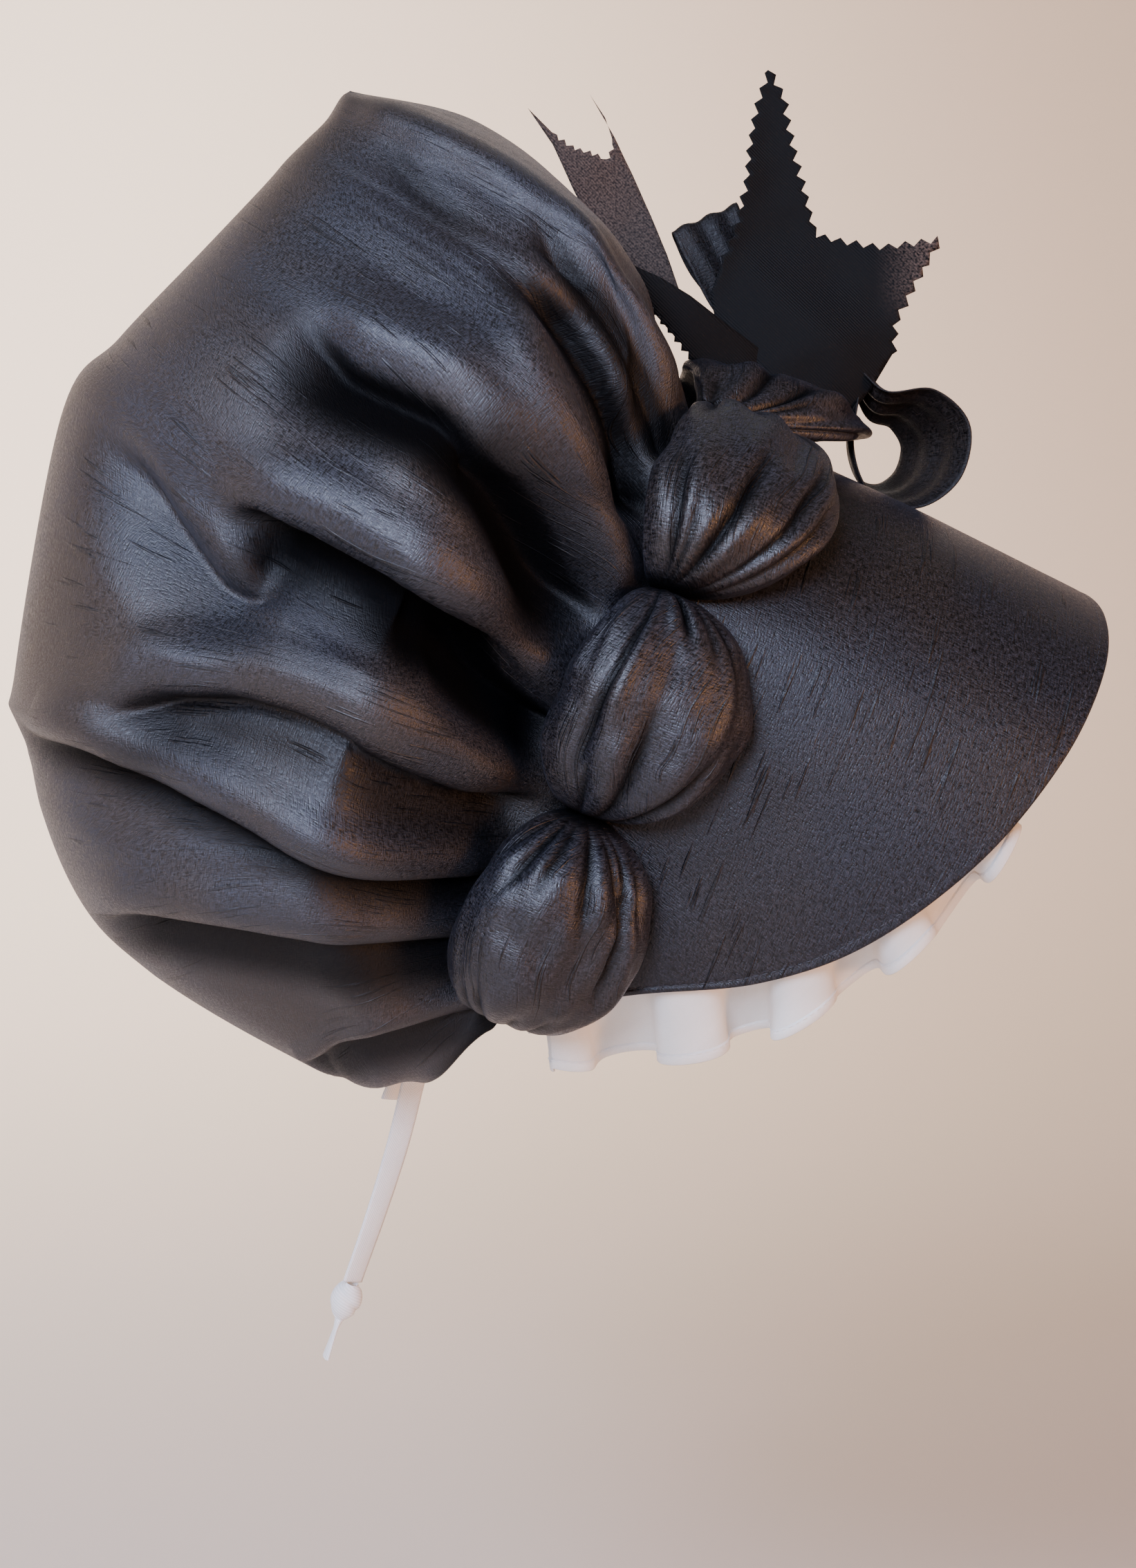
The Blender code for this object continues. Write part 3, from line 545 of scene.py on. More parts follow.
def addTape():
    twill = whiteCotton("cotton twill tape", "#e4e4e6", 0.0007, lines=0.8)
    knot = addTapeKnot(twill)
    finishPiece(knot, ["nape_tape_knot"])
    route, endRoute = tapeRoute(), tapeEndRoute()
    # The other end of the tape is too short to count as a cord of its own
    end = addBand("nape_tape_end_twill", endRoute, tape["width"], tape["thick"], 60, 40, twill)
    finishPiece(end, ["nape_tape_end"])
    band = addBand("nape_tape_twill", route, tape["width"], tape["thick"], 18, 38, twill)
    finishPiece(band, ["nape_tape"])



# The crown's reach from the join, in metres
crown = {"depth": 0.228, "rise": 0.192, "drop": 0.170, "halfWidth": 0.164, "swellReach": 0.085,
         "foldHeight": 0.020, "ribRows": 262, "lengthRows": 168, "lining": 0.0035, "blur": 0.65,
         "cornerLine": 5.0, "gatherGap": 0.0085, "gatherHeight": 1.5, "wrinkleHeight": 1.5}

# Lines over the bag, from the nape edge to the top: start on the join, back1 along1 back2 along2
# back3 along3, width, fold, first, last, swell, other, shift, all as shares
bagLines = [
    (0.00, 0.03, -0.73, 0.06, -0.85, 0.08, -0.95, 0.53, 0.0, 0.0, 1.0, 0.1, 1.0, 0.00),
    (0.05, 0.10, -0.70, 0.17, -0.82, 0.23, -1.00, 0.80, -0.4, 0.2, 0.9, 0.3, 0.7, 0.02),
    (0.12, 0.23, -0.51, 0.44, -0.58, 0.67, -0.86, 0.90, -0.5, 0.1, 1.1, 0.4, 1.0, -0.07),
    (0.21, 0.27, -0.37, 0.53, -0.36, 0.91, -0.49, 0.96, -0.6, 0.1, 1.1, 0.4, 0.6, -0.15),
    (0.29, 0.29, -0.13, 0.57, -0.14, 0.94, -0.36, 1.00, -0.8, 0.1, 0.9, 0.3, 0.8, -0.10),
    (0.36, 0.25, 0.05, 0.55, 0.06, 1.00, 0.19, 0.99, -1.2, 0.1, 1.0, 0.0, 0.6, 0.14),
    (0.40, 0.26, 0.14, 0.58, 0.20, 0.95, 0.36, 1.01, 0.3, 0.2, 0.8, 0.3, 0.8, 0.16),
    (0.55, 0.23, 0.36, 0.46, 0.46, 0.87, 0.57, 0.95, -0.8, 0.1, 0.8, 0.0, 0.6, 0.06),
    (0.58, 0.18, 0.40, 0.35, 0.55, 0.81, 0.73, 0.89, 0.4, 0.2, 0.8, 0.0, 1.2, 0.05),
    (0.61, 0.17, 0.48, 0.31, 0.64, 0.79, 0.79, 0.82, -0.5, 0.1, 0.8, 0.0, 0.7, 0.04),
    (0.64, 0.12, 0.52, 0.26, 0.70, 0.77, 0.84, 0.74, 0.4, 0.2, 0.7, 0.0, 1.3, 0.02),
    (0.69, 0.13, 0.61, 0.29, 0.78, 0.75, 0.89, 0.62, -0.7, 0.1, 0.8, 0.0, 0.8, 0.01),
    (0.78, 0.17, 0.75, 0.40, 0.88, 0.74, 0.94, 0.44, 0.3, 0.1, 1.0, 0.2, 0.9, 0.00),
    (1.00, 0.28, 0.89, 0.51, 0.99, 0.73, 0.96, 0.00, 0.0, 0.0, 1.0, 0.0, 1.0, 0.00),
]

# Folds on the wearer's right, in mm. A ridge or a valley has its height, its width, and the shares
# of its way over which it comes and goes. A pleat has the height and width of the cloth that stands
# out above its line, the depth and width of the fall below it, the width of the steep part, how far
# the lip hangs over, and the shares over which it comes and goes. shade is how dark the painted shade
# in its crease gets, shadeFrom the share of the fall where that fades, over and clear how far, in
# metres, the pleat runs past the middle of the bonnet or comes in from it. The way is (back, along), towards
# the join.
rightFolds = [
    ("pleat", 4.5, 28, 16, 36, 5, 2.5, 0.16, 0.1, {"shade": 0.95},
     [(152, 101), (137, 95), (127, 92), (108, 91), (93, 90), (75, 84), (58, 76), (42, 63), (28, 47),
      (14, 34)]),
    ("valley", 8, 14, 0.3, 0.2, [(100, 86), (84, 82), (67, 72), (52, 60), (38, 47), (22, 34)]),
    ("ridge", 7, 9, 0.25, 0.15,
     [(88, 140), (80, 122), (73, 110), (60, 96), (49, 84), (33, 66), (21, 52), (12, 42)]),
    ("ridge", 5.0, 12, 0.3, 0.3, [(118, 84), (106, 70), (90, 60), (74, 52), (58, 38), (40, 22)]),
    ("pleat", 3.0, 26, 13, 30, 3.5, 1.5, 0.45, 0.2, {"shade": 0.1, "clear": 0.05},
     [(212, 42), (200, 37), (185, 30), (172, 21), (157, 12), (147, 7), (138, 7), (124, 12)]),
    ("pleat", 4.5, 26, 18, 27, 5, 3.5, 0.14, 0.08, {"shade": 1.0, "shadeFrom": 0.55},
     [(154, 26), (144, 31), (135, 32), (119, 32), (104, 30), (89, 26), (74, 22), (59, 20), (44, 10),
      (27, 3), (10, -4)]),
    ("valley", 5, 10, 0.15, 0.2,
     [(150, 12), (134, 16), (115, 20), (98, 20), (82, 16), (66, 10), (49, 3), (25, -4)]),
    ("ridge", 4.0, 12, 0.3, 0.2, [(100, 10), (88, 3), (70, -7), (50, -19), (29, -31)]),
    ("ridge", 3.0, 8, 0.3, 0.3, [(62, 2), (48, -2), (36, -4), (22, -8)]),
    ("pleat", 4.5, 26, 14, 34, 4.5, 3.0, 0.16, 0.1, {"shade": 0.5},
     [(176, -57), (164, -46), (153, -36), (141, -31), (129, -26), (116, -24), (105, -23), (90, -24),
      (75, -27), (55, -31), (35, -33), (13, -28)]),
    ("pleat", 4.5, 22, 10, 28, 3.5, 2.2, 0.2, 0.1, {"shade": 0.9, "shadeFrom": 0.15, "over": 0.03},
     [(210, -72), (202, -74), (193, -75), (175, -70), (159, -69), (141, -68), (125, -68), (108, -69),
      (90, -72), (73, -73), (55, -71), (31, -65), (12, -60)]),
    ("ridge", 3.0, 8, 0.3, 0.2, [(60, -88), (48, -80), (34, -70), (20, -62)]),
    ("pleat", 4.0, 22, 8, 28, 3.5, 2.0, 0.2, 0.1, {"shade": 0.7, "over": 0.04},
     [(156, -137), (145, -127), (134, -119), (117, -113), (100, -108), (80, -103), (60, -98), (43, -93),
      (25, -88), (10, -84)]),
    ("ridge", 4.0, 11, 0.4, 0.2, [(80, -100), (72, -107), (53, -120), (40, -131)]),
    ("pleat", 2.5, 12, 6, 24, 3.0, 1.2, 0.05, 0.1, {"shade": 0.6, "over": 0.03},
     [(62, -160), (57, -152), (51, -140), (39, -131), (19, -118), (5, -109)]),
    ("pleat", 6.0, 11, 9, 13, 4, 1.5, 0.3, 0.1, {"shade": 0.8},
     [(88, 162), (75, 153), (60, 144), (44, 133), (29, 119), (17, 105), (8, 92)]),
    ("pleat", 6.0, 10, 12, 18, 4, 2.0, 0.3, 0.1, {"shade": 0.9},
     [(96, 142), (84, 139), (67, 136), (60, 133), (53, 128), (39, 116), (26, 102), (18, 86), (10, 72)]),
    ("pleat", 1.0, 12, 1.6, 14, 5, 0.2, 0.3, 0.4, {},
     [(142, 172), (135, 164), (126, 158), (111, 152), (95, 147)]),
    ("ridge", 4.0, 8, 0.15, 0.2,
     [(163, 176), (144, 174), (126, 172), (106, 168), (86, 163), (66, 158), (48, 150)]),
]

# Folds on the wearer's left, in the same way
leftFolds = [
    ("pleat", 3.5, 26, 10, 30, 4.5, 2.0, 0.2, 0.08, {},
     [(214, 64), (196, 62), (176, 54), (158, 44), (140, 40), (118, 42), (96, 40), (74, 32), (52, 24),
      (30, 12), (10, 2)]),
    ("pleat", 3.5, 26, 9, 30, 4.5, 1.6, 0.1, 0.1, {},
     [(168, 112), (150, 112), (130, 108), (108, 98), (88, 90), (66, 78), (46, 62), (26, 44), (12, 30)]),
    ("pleat", 3.5, 24, 9, 28, 4.5, 2.0, 0.12, 0.1, {},
     [(190, -44), (172, -34), (152, -24), (130, -18), (108, -16), (84, -20), (60, -26), (36, -30),
      (12, -26)]),
    ("pleat", 3.5, 20, 8, 26, 3.5, 1.6, 0.15, 0.1, {},
     [(188, -92), (170, -86), (148, -82), (124, -78), (100, -78), (76, -78), (50, -72), (26, -64),
      (10, -58)]),
    ("pleat", 3.0, 18, 7, 24, 3.5, 1.4, 0.15, 0.1, {},
     [(150, -132), (132, -122), (112, -118), (90, -112), (66, -106), (44, -98), (22, -90), (8, -84)]),
    ("pleat", 2.5, 12, 5, 20, 3.0, 1.0, 0.2, 0.1, {},
     [(96, -140), (78, -134), (58, -126), (36, -118), (14, -108)]),
    ("pleat", 4.0, 12, 8, 18, 4, 1.6, 0.2, 0.1, {},
     [(120, 150), (100, 146), (80, 138), (60, 126), (42, 110), (26, 92), (12, 76)]),
    ("pleat", 4.0, 10, 6, 14, 4, 1.0, 0.2, 0.1, {},
     [(96, 166), (78, 160), (58, 150), (40, 136), (24, 118), (12, 102)]),
    ("ridge", 3.5, 13, 0.3, 0.3, [(120, 70), (100, 62), (80, 50), (60, 36), (40, 20)]),
    ("ridge", 3.5, 11, 0.3, 0.2, [(110, 8), (90, -2), (68, -10), (46, -18), (26, -24)]),
]


def outlinePoint(back, along):
    return (0, along * (crown["rise"] if along >= 0 else crown["drop"]), back * crown["depth"])


# One line of the smooth bag at the shares t of its length
def bagLine(line, t, otherSide):
    start, back1, along1, back2, along2, back3, along3, width = line[:8]
    spot, away = joinArch(-(1 - start) * halfJoin)
    side = through([(0, spot[1], gap), outlinePoint(back1, along1), outlinePoint(back2, along2),
                    outlinePoint(back3, along3)], t * 3)
    if otherSide:
        side[:, 1] += line[13] * crown["rise"] * np.sin(math.pi * t)
    low = (1 - smooth(side[:, 2] / (puff["width"] * 0.6))) * max(away[1], 0.0)
    side[:, 1] -= (side[:, 1] - spot[1]) * low
    reach = width * crown["halfWidth"]
    half = -spot[0] + (reach + spot[0]) * smooth((side[:, 2] - puff["width"] * 0.12) / crown["swellReach"])
    side[:, 0] = -half * (1 - t ** 2.6) ** 0.5
    return side


# How far the broad folds and panels stand out, softened across the lines
def broadHeight(ribs, t, otherSide):
    fine = np.arange(0, 13.0001, 1 / 24)[:, None]
    height = np.zeros((len(fine), len(t)))
    for number, line in enumerate(bagLines):
        fold, first, last, swell, other = line[8:13]
        near = np.clip(1 - np.abs(fine - number), 0, 1)
        shown = smooth((t - first) / 0.2) * smooth((last - t) / 0.25)
        spread = near ** 1.6 if fold < 0 else np.sin(math.pi / 2 * near) ** 2
        share = 1 + (other - 1) * smooth((1 - t) / 0.3) if otherSide else 1.0
        height += 0.55 * fold * shown * spread * share
        inPanel = (fine >= number) & (fine < number + 1)
        height += inPanel * swell * np.sin(math.pi * (fine % 1)) * smooth(t / 0.3) * smooth((1 - t) / 0.15)
    kernel = np.exp(-0.5 * (np.arange(-24, 25) / (crown["blur"] * 24)) ** 2)
    kernel /= kernel.sum()
    padded = np.pad(height, ((24, 24), (0, 0)), mode="reflect", reflect_type="odd")
    soft = np.apply_along_axis(lambda column: np.convolve(column, kernel, "valid"), 0, padded)
    return np.stack([np.interp(ribs, fine[:, 0], column) for column in soft.T], -1) * crown["foldHeight"]


# Adds one fold to the heights and slides of points at back and along, in mm, with shares of it
def layFold(fold, back, along, share, height, slide, dark):
    kind, *sizes, way = fold
    way = through(way, np.linspace(0, len(way) - 1, 40))
    best = np.full(back.shape, 1e9)
    signed, reached = np.zeros(back.shape), np.zeros(back.shape)
    down = np.zeros(back.shape + (2,))
    runs = runAlong(way)
    for (b0, a0), (b1, a1), run in zip(way[:-1], way[1:], runs[:-1]):
        stepB, stepA = b1 - b0, a1 - a0
        long = math.hypot(stepB, stepA)
        part = np.clip(((back - b0) * stepB + (along - a0) * stepA) / long ** 2, 0, 1)
        offB, offA = back - b0 - stepB * part, along - a0 - stepA * part
        away = np.hypot(offB, offA)
        nearer = away < best
        sign = np.where(stepB * (along - a0) - stepA * (back - b0) < 0, 1.0, -1.0)
        best = np.where(nearer, away, best)
        signed = np.where(nearer, away * sign, signed)
        reached = np.where(nearer, (run + part * long) / runs[-1], reached)
        down[nearer] = (stepA / long, stepB / long)
    start, end = sizes[6:8] if kind == "pleat" else sizes[2:]
    shown = smooth(reached / start) * smooth((1 - reached) / end) * share
    if kind == "ridge":
        height += sizes[0] * shown * np.exp(-(signed / sizes[1]) ** 2)
        return
    if kind == "valley":
        height -= sizes[0] * shown * np.exp(-np.abs(signed / sizes[1]) ** 1.5)
        # A valley also gets painted shade along its floor
        np.maximum(dark, 0.7 * shown * np.exp(-(signed / sizes[1]) ** 2), out=dark)
        return
    # A round shoulder, then a steep fall into a sharp crease, then a slow way back up
    lip, lipWide, drop, dropWide, steep, hang = sizes[:6]
    shoulder = min(9.0, lipWide * 0.45)
    rise = np.sin(math.pi / 2 * np.clip((signed + steep) / (steep + shoulder), 0, 1))
    over = np.clip(1 - (np.maximum(signed - shoulder, 0) / (lipWide - shoulder)) ** 2, 0, 1) ** 2
    under = np.clip(1 - (-signed - steep) / dropWide, 0, 1) ** 1.3
    fall = np.where(signed > -steep, (lip + drop) * rise - drop, 0)
    height += shown * fall * np.where(signed > shoulder, over, 1)
    height -= shown * np.where(signed <= -steep, drop * under, 0)
    # Painted shade in the crease under the lip, fading down the fall
    shade, shadeFrom = sizes[8].get("shade", 0.3), sizes[8].get("shadeFrom", 0.45)
    deep = 1 - smooth((-signed - shadeFrom * dropWide) / (0.5 * dropWide))
    np.maximum(dark, shade * shown ** 0.7 * deep * smooth((1.5 - signed) / 3.0), out=dark)
    lean = shown * hang * smooth((signed + steep) / steep) * (1 - smooth(signed / shoulder))
    slide += down * lean[..., None]


# What kind, as np.min or np.mean, makes of each value's neighbours in a grid
def nearby(values, reach, kind):
    for axis in (0, 1):
        count = values.shape[axis]
        moved = [np.take(values, np.clip(np.arange(count) + k, 0, count - 1), axis)
                 for k in range(-reach, reach + 1, 2)]
        values = kind(moved, axis=0)
    return values


# Puts the last row and column of a half, which meet the other half, on the middle of the bonnet
def toMiddle(half):
    half[-1, :, 0] = 0
    half[:, -1, 0] = 0
    return half


def crownHalf(ribs, t, otherSide):
    bag = through(np.array([bagLine(line, t, otherSide) for line in bagLines]), ribs)
    normal = unit(np.cross(np.gradient(bag, axis=1), np.gradient(bag, axis=0)))
    clear = smooth((bag[..., 2] - puff["width"] * 0.25) / (puff["width"] * 0.6))
    # The corner of the outline keeps its plain shape
    besideCorner = (1 - smooth((np.abs(ribs - crown["cornerLine"]) - 0.6) / 0.8))[:, None]
    corner = smooth((t - 0.86) / 0.10)[None] * besideCorner
    base = bag + normal * (broadHeight(ribs, t, otherSide) * clear * (1 - corner))[..., None]
    toMiddle(base)
    normal = unit(toMiddle(unit(np.cross(np.gradient(base, axis=1), np.gradient(base, axis=0)))))
    if otherSide:
        base[..., 0] *= -1
        normal[..., 0] *= -1
    back, along, x = base[..., 2] * 1000, base[..., 1] * 1000, base[..., 0]
    height, dark = np.zeros((2,) + back.shape)
    slide = np.zeros(back.shape + (2,))
    for fold in rightFolds:
        extra = fold[9] if fold[0] == "pleat" else {}
        share = 1 - smooth((x + 0.012) / (extra.get("over", 0.012) + 0.012))
        if "clear" in extra:
            share = smooth((-x - 0.004) / extra["clear"])
        layFold(fold, back, along, share, height, slide, dark)
    for fold in leftFolds:
        layFold(fold, back, along, smooth((x - 0.004) / 0.04), height, slide, dark)
    # Fine gathers beside the puffs, and the unrest of cloth that was sewn by hand
    runs = np.interp(ribs, range(len(bagLines)), [line[0] for line in bagLines])[:, None] * halfJoin
    near = smooth((back / 1000 - 0.004) / 0.012) * (1 - smooth((back / 1000 - 0.018) / 0.045))
    seed = 3.0 if otherSide else 1.0
    gathers = ripple(runs / crown["gatherGap"], t * 1.2, seed, 1)
    height += gathers * crown["gatherHeight"] * near
    wrinkles = ripple(ribs[:, None] * 2.2, t * 2.0, seed + 4, 2)
    quiet = np.minimum(smooth((13 - ribs[:, None]) / 1.5), smooth((1 - t) / 0.25))
    height += wrinkles * crown["wrinkleHeight"] * quiet * clear
    height *= smooth(back / 1000 / 0.012)
    corner = smooth((t - 0.90) / 0.07)[None] * besideCorner
    height *= 1 - corner
    slide *= (1 - corner)[..., None]
    made = base + normal * height[..., None] * mm
    slide *= smooth(np.abs(x) / 0.035)[..., None]
    made[..., 2] += slide[..., 0] * mm
    made[..., 1] += slide[..., 1] * mm
    toMiddle(made)
    # Painted shade: the cloth is also darkened where it is pulled in at the join
    dark = np.maximum(dark, 0.85 * (1 - smooth((back / 1000 - 0.004) / 0.016)))
    # The plain lining hangs free of the folds, and meets the silk at the join and the nape
    low = nearby(nearby(np.minimum(height, 0), 8, np.min), 6, np.mean)
    free = smooth(t / 0.06)[None, :] * smooth((ribs + 0.1) / 0.5)[:, None]
    hang = (crown["lining"] - low * mm) * free + 0.0004
    inside = made + (base - made) * free[..., None] - normal * hang[..., None]
    return made, dark, toMiddle(inside)


# Joins two halves along the middle of the bonnet and gives one grid of vertex numbers for each
def joinHalves(right, left):
    rows, columns = right.shape[:2]
    rightNumbers = gridNumbers(rows, columns)
    leftNumbers = rightNumbers.copy()
    own = np.ones((rows, columns), bool)
    own[-1, :] = False
    own[:, -1] = False
    leftNumbers[own] = rows * columns + np.arange(own.sum())
    return np.concatenate([right.reshape(-1, right.shape[-1]), left[own]]), rightNumbers, leftNumbers


# The hem at the nape: the edge rolls in and runs up a little way inside
def withHem(half, side):
    up = unit(half[2] - half[0])
    out = unit(np.cross(np.gradient(half[0], axis=0), up)) * side
    roll, runsUp = 0.0012, 0.009
    rows = [half[0] - out * 2 * roll + up * runsUp]
    for turn in (180, 140, 100, 60, 30):
        a = math.radians(turn)
        rows.append(half[0] - out * roll * (1 - math.cos(a)) - up * roll * math.sin(a))
    made = np.concatenate([np.array(rows), half])
    made[:, -1, 0] = 0
    return made


def addCrown(silk, lining):
    rough = np.array([bagLine(line, np.array([0.35, 0.6, 0.85]), False) for line in bagLines])
    apart = np.linalg.norm(np.diff(rough, axis=0), axis=-1).max(axis=1)
    reach = np.concatenate([[0], np.cumsum(apart)])
    ribs = np.interp(np.linspace(0, reach[-1], crown["ribRows"]), reach, np.arange(len(reach)))
    t = np.sin(math.pi / 2 * np.linspace(0, 1, crown["lengthRows"]))
    right, left = crownHalf(ribs, t, False), crownHalf(ribs, t, True)
    halves = [withHem(right[0], 1), withHem(left[0], -1)]
    darks = [np.concatenate([np.repeat(dark[:1], 6, axis=0), dark])[..., None] for _, dark, _ in (right, left)]
    uvs = []
    for number, half in enumerate(halves):
        widest = runAlong(half[:, int(0.55 * crown["lengthRows"])][None])[0]
        shift = 0.0 if number == 0 else 1.0
        uvs.append(np.stack([np.repeat(widest[:, None], len(t), 1) + shift, runAlong(half)], -1))
    verts, rightNumbers, leftNumbers = joinHalves(*halves)
    flatUvs = joinHalves(*uvs)[0]
    faces = gridFaces(rightNumbers, flip=False) + gridFaces(leftNumbers, flip=True)
    outer = addMesh("crown_silk", place(verts), faces, flatUvs, silk, joinHalves(*darks)[0])
    finishPiece(outer, ["crown"])
    rows = np.unique(np.append(np.arange(1, len(ribs), 3), len(ribs) - 1))
    columns = np.unique(np.append(np.arange(0, len(t), 3), len(t) - 1))
    inner = [half[2][np.ix_(rows, columns)] for half in (right, left)]
    verts, rightNumbers, leftNumbers = joinHalves(*inner)
    faces = gridFaces(rightNumbers, flip=True) + gridFaces(leftNumbers, flip=False)
    inside = addMesh("crown_lining", place(verts), faces, verts[:, :2], lining)
    finishPiece(inside)
    print("crown", len(outer.data.polygons), "faces")


# Seven puffs along the join, from the wearer's right cheek to the left
puff = {"count": 7, "width": 0.064, "thickness": 0.037, "topThickness": 0.020, "pinch": 0.010, "forward": 0.018,
        "openEnd": 0.024, "topForward": 0.007, "topWider": 1.12, "rings": 92, "sides": 132}

# Creases that run in from a pinch: end is -1 or 1, from and to are turns in degrees (0 back edge,
# 90 outwards, 180 front edge), reach its length in half puffs, deep and wide in mm
puffCreases = {
    1: [(1, 60, 42, 0.80, 2.6, 2.2), (1, 74, 68, 0.70, 2.4, 1.8), (1, 92, 108, 0.95, 2.8, 2.0),
        (1, 108, 140, 0.7, 2.0, 1.6), (1, 128, 150, 1.60, 2.6, 1.7), (-1, 60, 50, 0.45, 2.4, 2.0),
        (-1, 88, 92, 0.30, 2.0, 1.8), (-1, 112, 120, 0.35, 1.8, 1.6), (-1, 35, 30, 0.4, 2.0, 2.0),
        (1, 40, 22, 0.5, 1.8, 1.8)],
    2: [(1, 55, 52, 1.75, 3.2, 1.8), (1, 88, 100, 0.35, 4.0, 1.2), (-1, 100, 84, 1.25, 2.6, 2.2),
        (-1, 122, 146, 1.0, 2.6, 2.0), (-1, 142, 168, 0.8, 2.2, 1.8), (1, 130, 150, 0.6, 2.0, 2.0),
        (-1, 70, 60, 0.6, 2.0, 1.8), (1, 110, 128, 0.5, 1.8, 1.8)],
    3: [(-1, 60, 34, 0.95, 2.6, 2.0), (-1, 84, 96, 1.15, 3.2, 2.4), (-1, 118, 148, 1.4, 2.6, 1.8),
        (-1, 72, 58, 0.7, 2.0, 1.6), (1, 96, 84, 0.5, 3.0, 1.6), (1, 130, 140, 0.7, 2.2, 2.0),
        (1, 50, 44, 0.7, 2.4, 2.0), (-1, 140, 160, 1.0, 1.8, 1.6)],
}


def puffLift(forward, wide):
    flare = (brim["edgeHalfWidth"] - join["halfWidth"]) / brim["reach"]
    return gap * 3 + flare * (forward + wide * 0.4)


def creasesFor(number):
    if number in puffCreases:
        return puffCreases[number]
    chance = random.Random(40 + number)
    made = []
    for end in (-1, 1):
        for k in range(6):
            angle = 24 + k * 26 + chance.uniform(-10, 10)
            made.append((end, angle, 90 + (angle - 90) * chance.uniform(1.1, 1.6),
                         chance.choice([0.4, 0.55, 0.8, 1.3]), chance.uniform(1.6, 3.2),
                         chance.uniform(1.5, 2.3)))
    return made


def addPuff(number, silk):
    pitch = 2 * halfJoin / puff["count"]
    middle, half = -halfJoin + pitch * (number - 0.5), pitch / 2 - gap
    way = np.sin(math.pi / 2 * np.linspace(-1, 1, puff["rings"]))
    turn = np.linspace(0, 2 * math.pi, puff["sides"] + 1)[:-1]
    spot, away = joinArch(middle + half * way)
    atTop = number == 4
    thickness = puff["topThickness"] if atTop else puff["thickness"]
    fullness = np.clip(1 - np.abs(way) ** 2.4, 0, 1) ** 0.6
    pinch = np.full(len(way), puff["pinch"])
    if number in (1, 7):  # the lowest puffs end in a broad gathered edge
        pinch = np.where((way < 0) == (number == 1), puff["openEnd"], puff["pinch"])
    wide = (pinch + (puff["width"] - pinch) * fullness) / 2
    thick = (puff["pinch"] * 0.8 + (thickness - puff["pinch"] * 0.8) * fullness) / 2
    if number in (3, 5):  # these lie flatter towards the top
        upward = smooth((way * (1 if number == 3 else -1) + 1) / 2)
        thick = thick * (1 - 0.40 * upward)
        wide = wide * (1 - 0.10 * upward)
    forward = puff["forward"] * smooth(1 - np.abs(middle + half * way) / halfJoin) * fullness
    if atTop:
        wide, forward = wide * puff["topWider"], forward + puff["topForward"] * fullness
    lump = ripple(way[:, None] * 1.6, np.cos(turn) * 1.3, number * 2.0, 2)
    lump = lump + ripple(way[:, None] * 1.6, np.sin(turn) * 1.3, number * 2.0 + 1, 2)
    pulls = ripple(np.cos(turn) * 1.5, np.sin(turn) * 1.5 + way[:, None] * 0.6, number * 3.0 + 5, 2)
    height = (lump * (2.6 if atTop else 2.2) + pulls * 4.2) * fullness[:, None]
    radius = ((wide + thick) / 2 * 1000)[:, None]
    # Painted shade: the puff is darkened towards its pinched ends
    dark = np.repeat((1 - smooth((1 - np.abs(way)) / 0.10))[:, None], len(turn), 1) * 0.9
    for end, fromTurn, toTurn, reach, deep, width in creasesFor(number):
        if number > 4:  # the left puffs are numbered from the other end
            end = -end
        deep, reach = deep * 1.05, reach * 1.15
        q = (1 - end * way[:, None]) / reach
        centre = np.radians(fromTurn + (toTurn - fromTurn) * np.clip(q, 0, 1))
        apart = ((turn - centre + math.pi) % (2 * math.pi) - math.pi) * radius
        grown = width * (0.55 + 1.25 * np.clip(q, 0, 1))
        shown = smooth((1 - q) / 0.55) * (0.45 + 0.55 * smooth(q / 0.2))
        cut = np.exp(-np.abs(apart / grown * 1.25) ** 1.4)
        # The cloth stands up on one side of a crease and runs flat into it on the other
        upSide = 1 if int(fromTurn * 7 + number) % 2 else -1
        rims = np.exp(-((np.abs(apart) - 2.3 * grown) / (1.5 * grown)) ** 2)
        rims *= np.where(apart * upSide > 0, 1.7, 0.1)
        height += shown * deep * (0.42 * rims - cut)
        # Painted shade along each crease
        np.maximum(dark, np.clip(shown * deep * cut / 2.6 - 0.2, 0, 0.9), out=dark)
    height *= (0.3 + 0.7 * smooth((radius - 3) / 10))
    back = wide[:, None] * np.cos(turn) - forward[:, None] + height * mm * np.cos(turn)
    out = (thick[:, None] * (1 + np.sin(turn)) + height * mm * np.maximum(np.sin(turn), -0.15)
           + puffLift(forward, wide)[:, None])
    rings = np.stack([*(spot[:, None, k] + away[:, None, k] * out for k in (0, 1)), back], -1)
    uvs = np.stack([runAlong(np.concatenate([rings, rings[:, :1]], 1))[:, :-1],
                    np.repeat((way * half)[:, None], len(turn), 1)], -1)
    ends = [rings[0].mean(axis=0), rings[-1].mean(axis=0)]
    verts = np.concatenate([rings.reshape(-1, 3), ends])
    flatUvs = np.concatenate([uvs.reshape(-1, 2), [[0, -half], [0, half]]])
    closed = gridNumbers(len(way), len(turn), closed=True)
    faces = gridFaces(closed, flip=True)
    last = len(verts)
    faces += [[last - 2, closed[0, k], closed[0, k + 1]] for k in range(len(turn))]
    faces += [[last - 1, closed[-1, k + 1], closed[-1, k]] for k in range(len(turn))]
    faces = [[int(v) for v in face] for face in faces]
    # Painted shade for each vertex, full at the two end points
    paintedShade = np.concatenate([dark.ravel(), [1, 1]])
    made = addMesh(f"puff_silk_{number}", place(verts), faces, flatUvs, silk, paintedShade)
    finishPiece(made, [f"puff_{number}"])


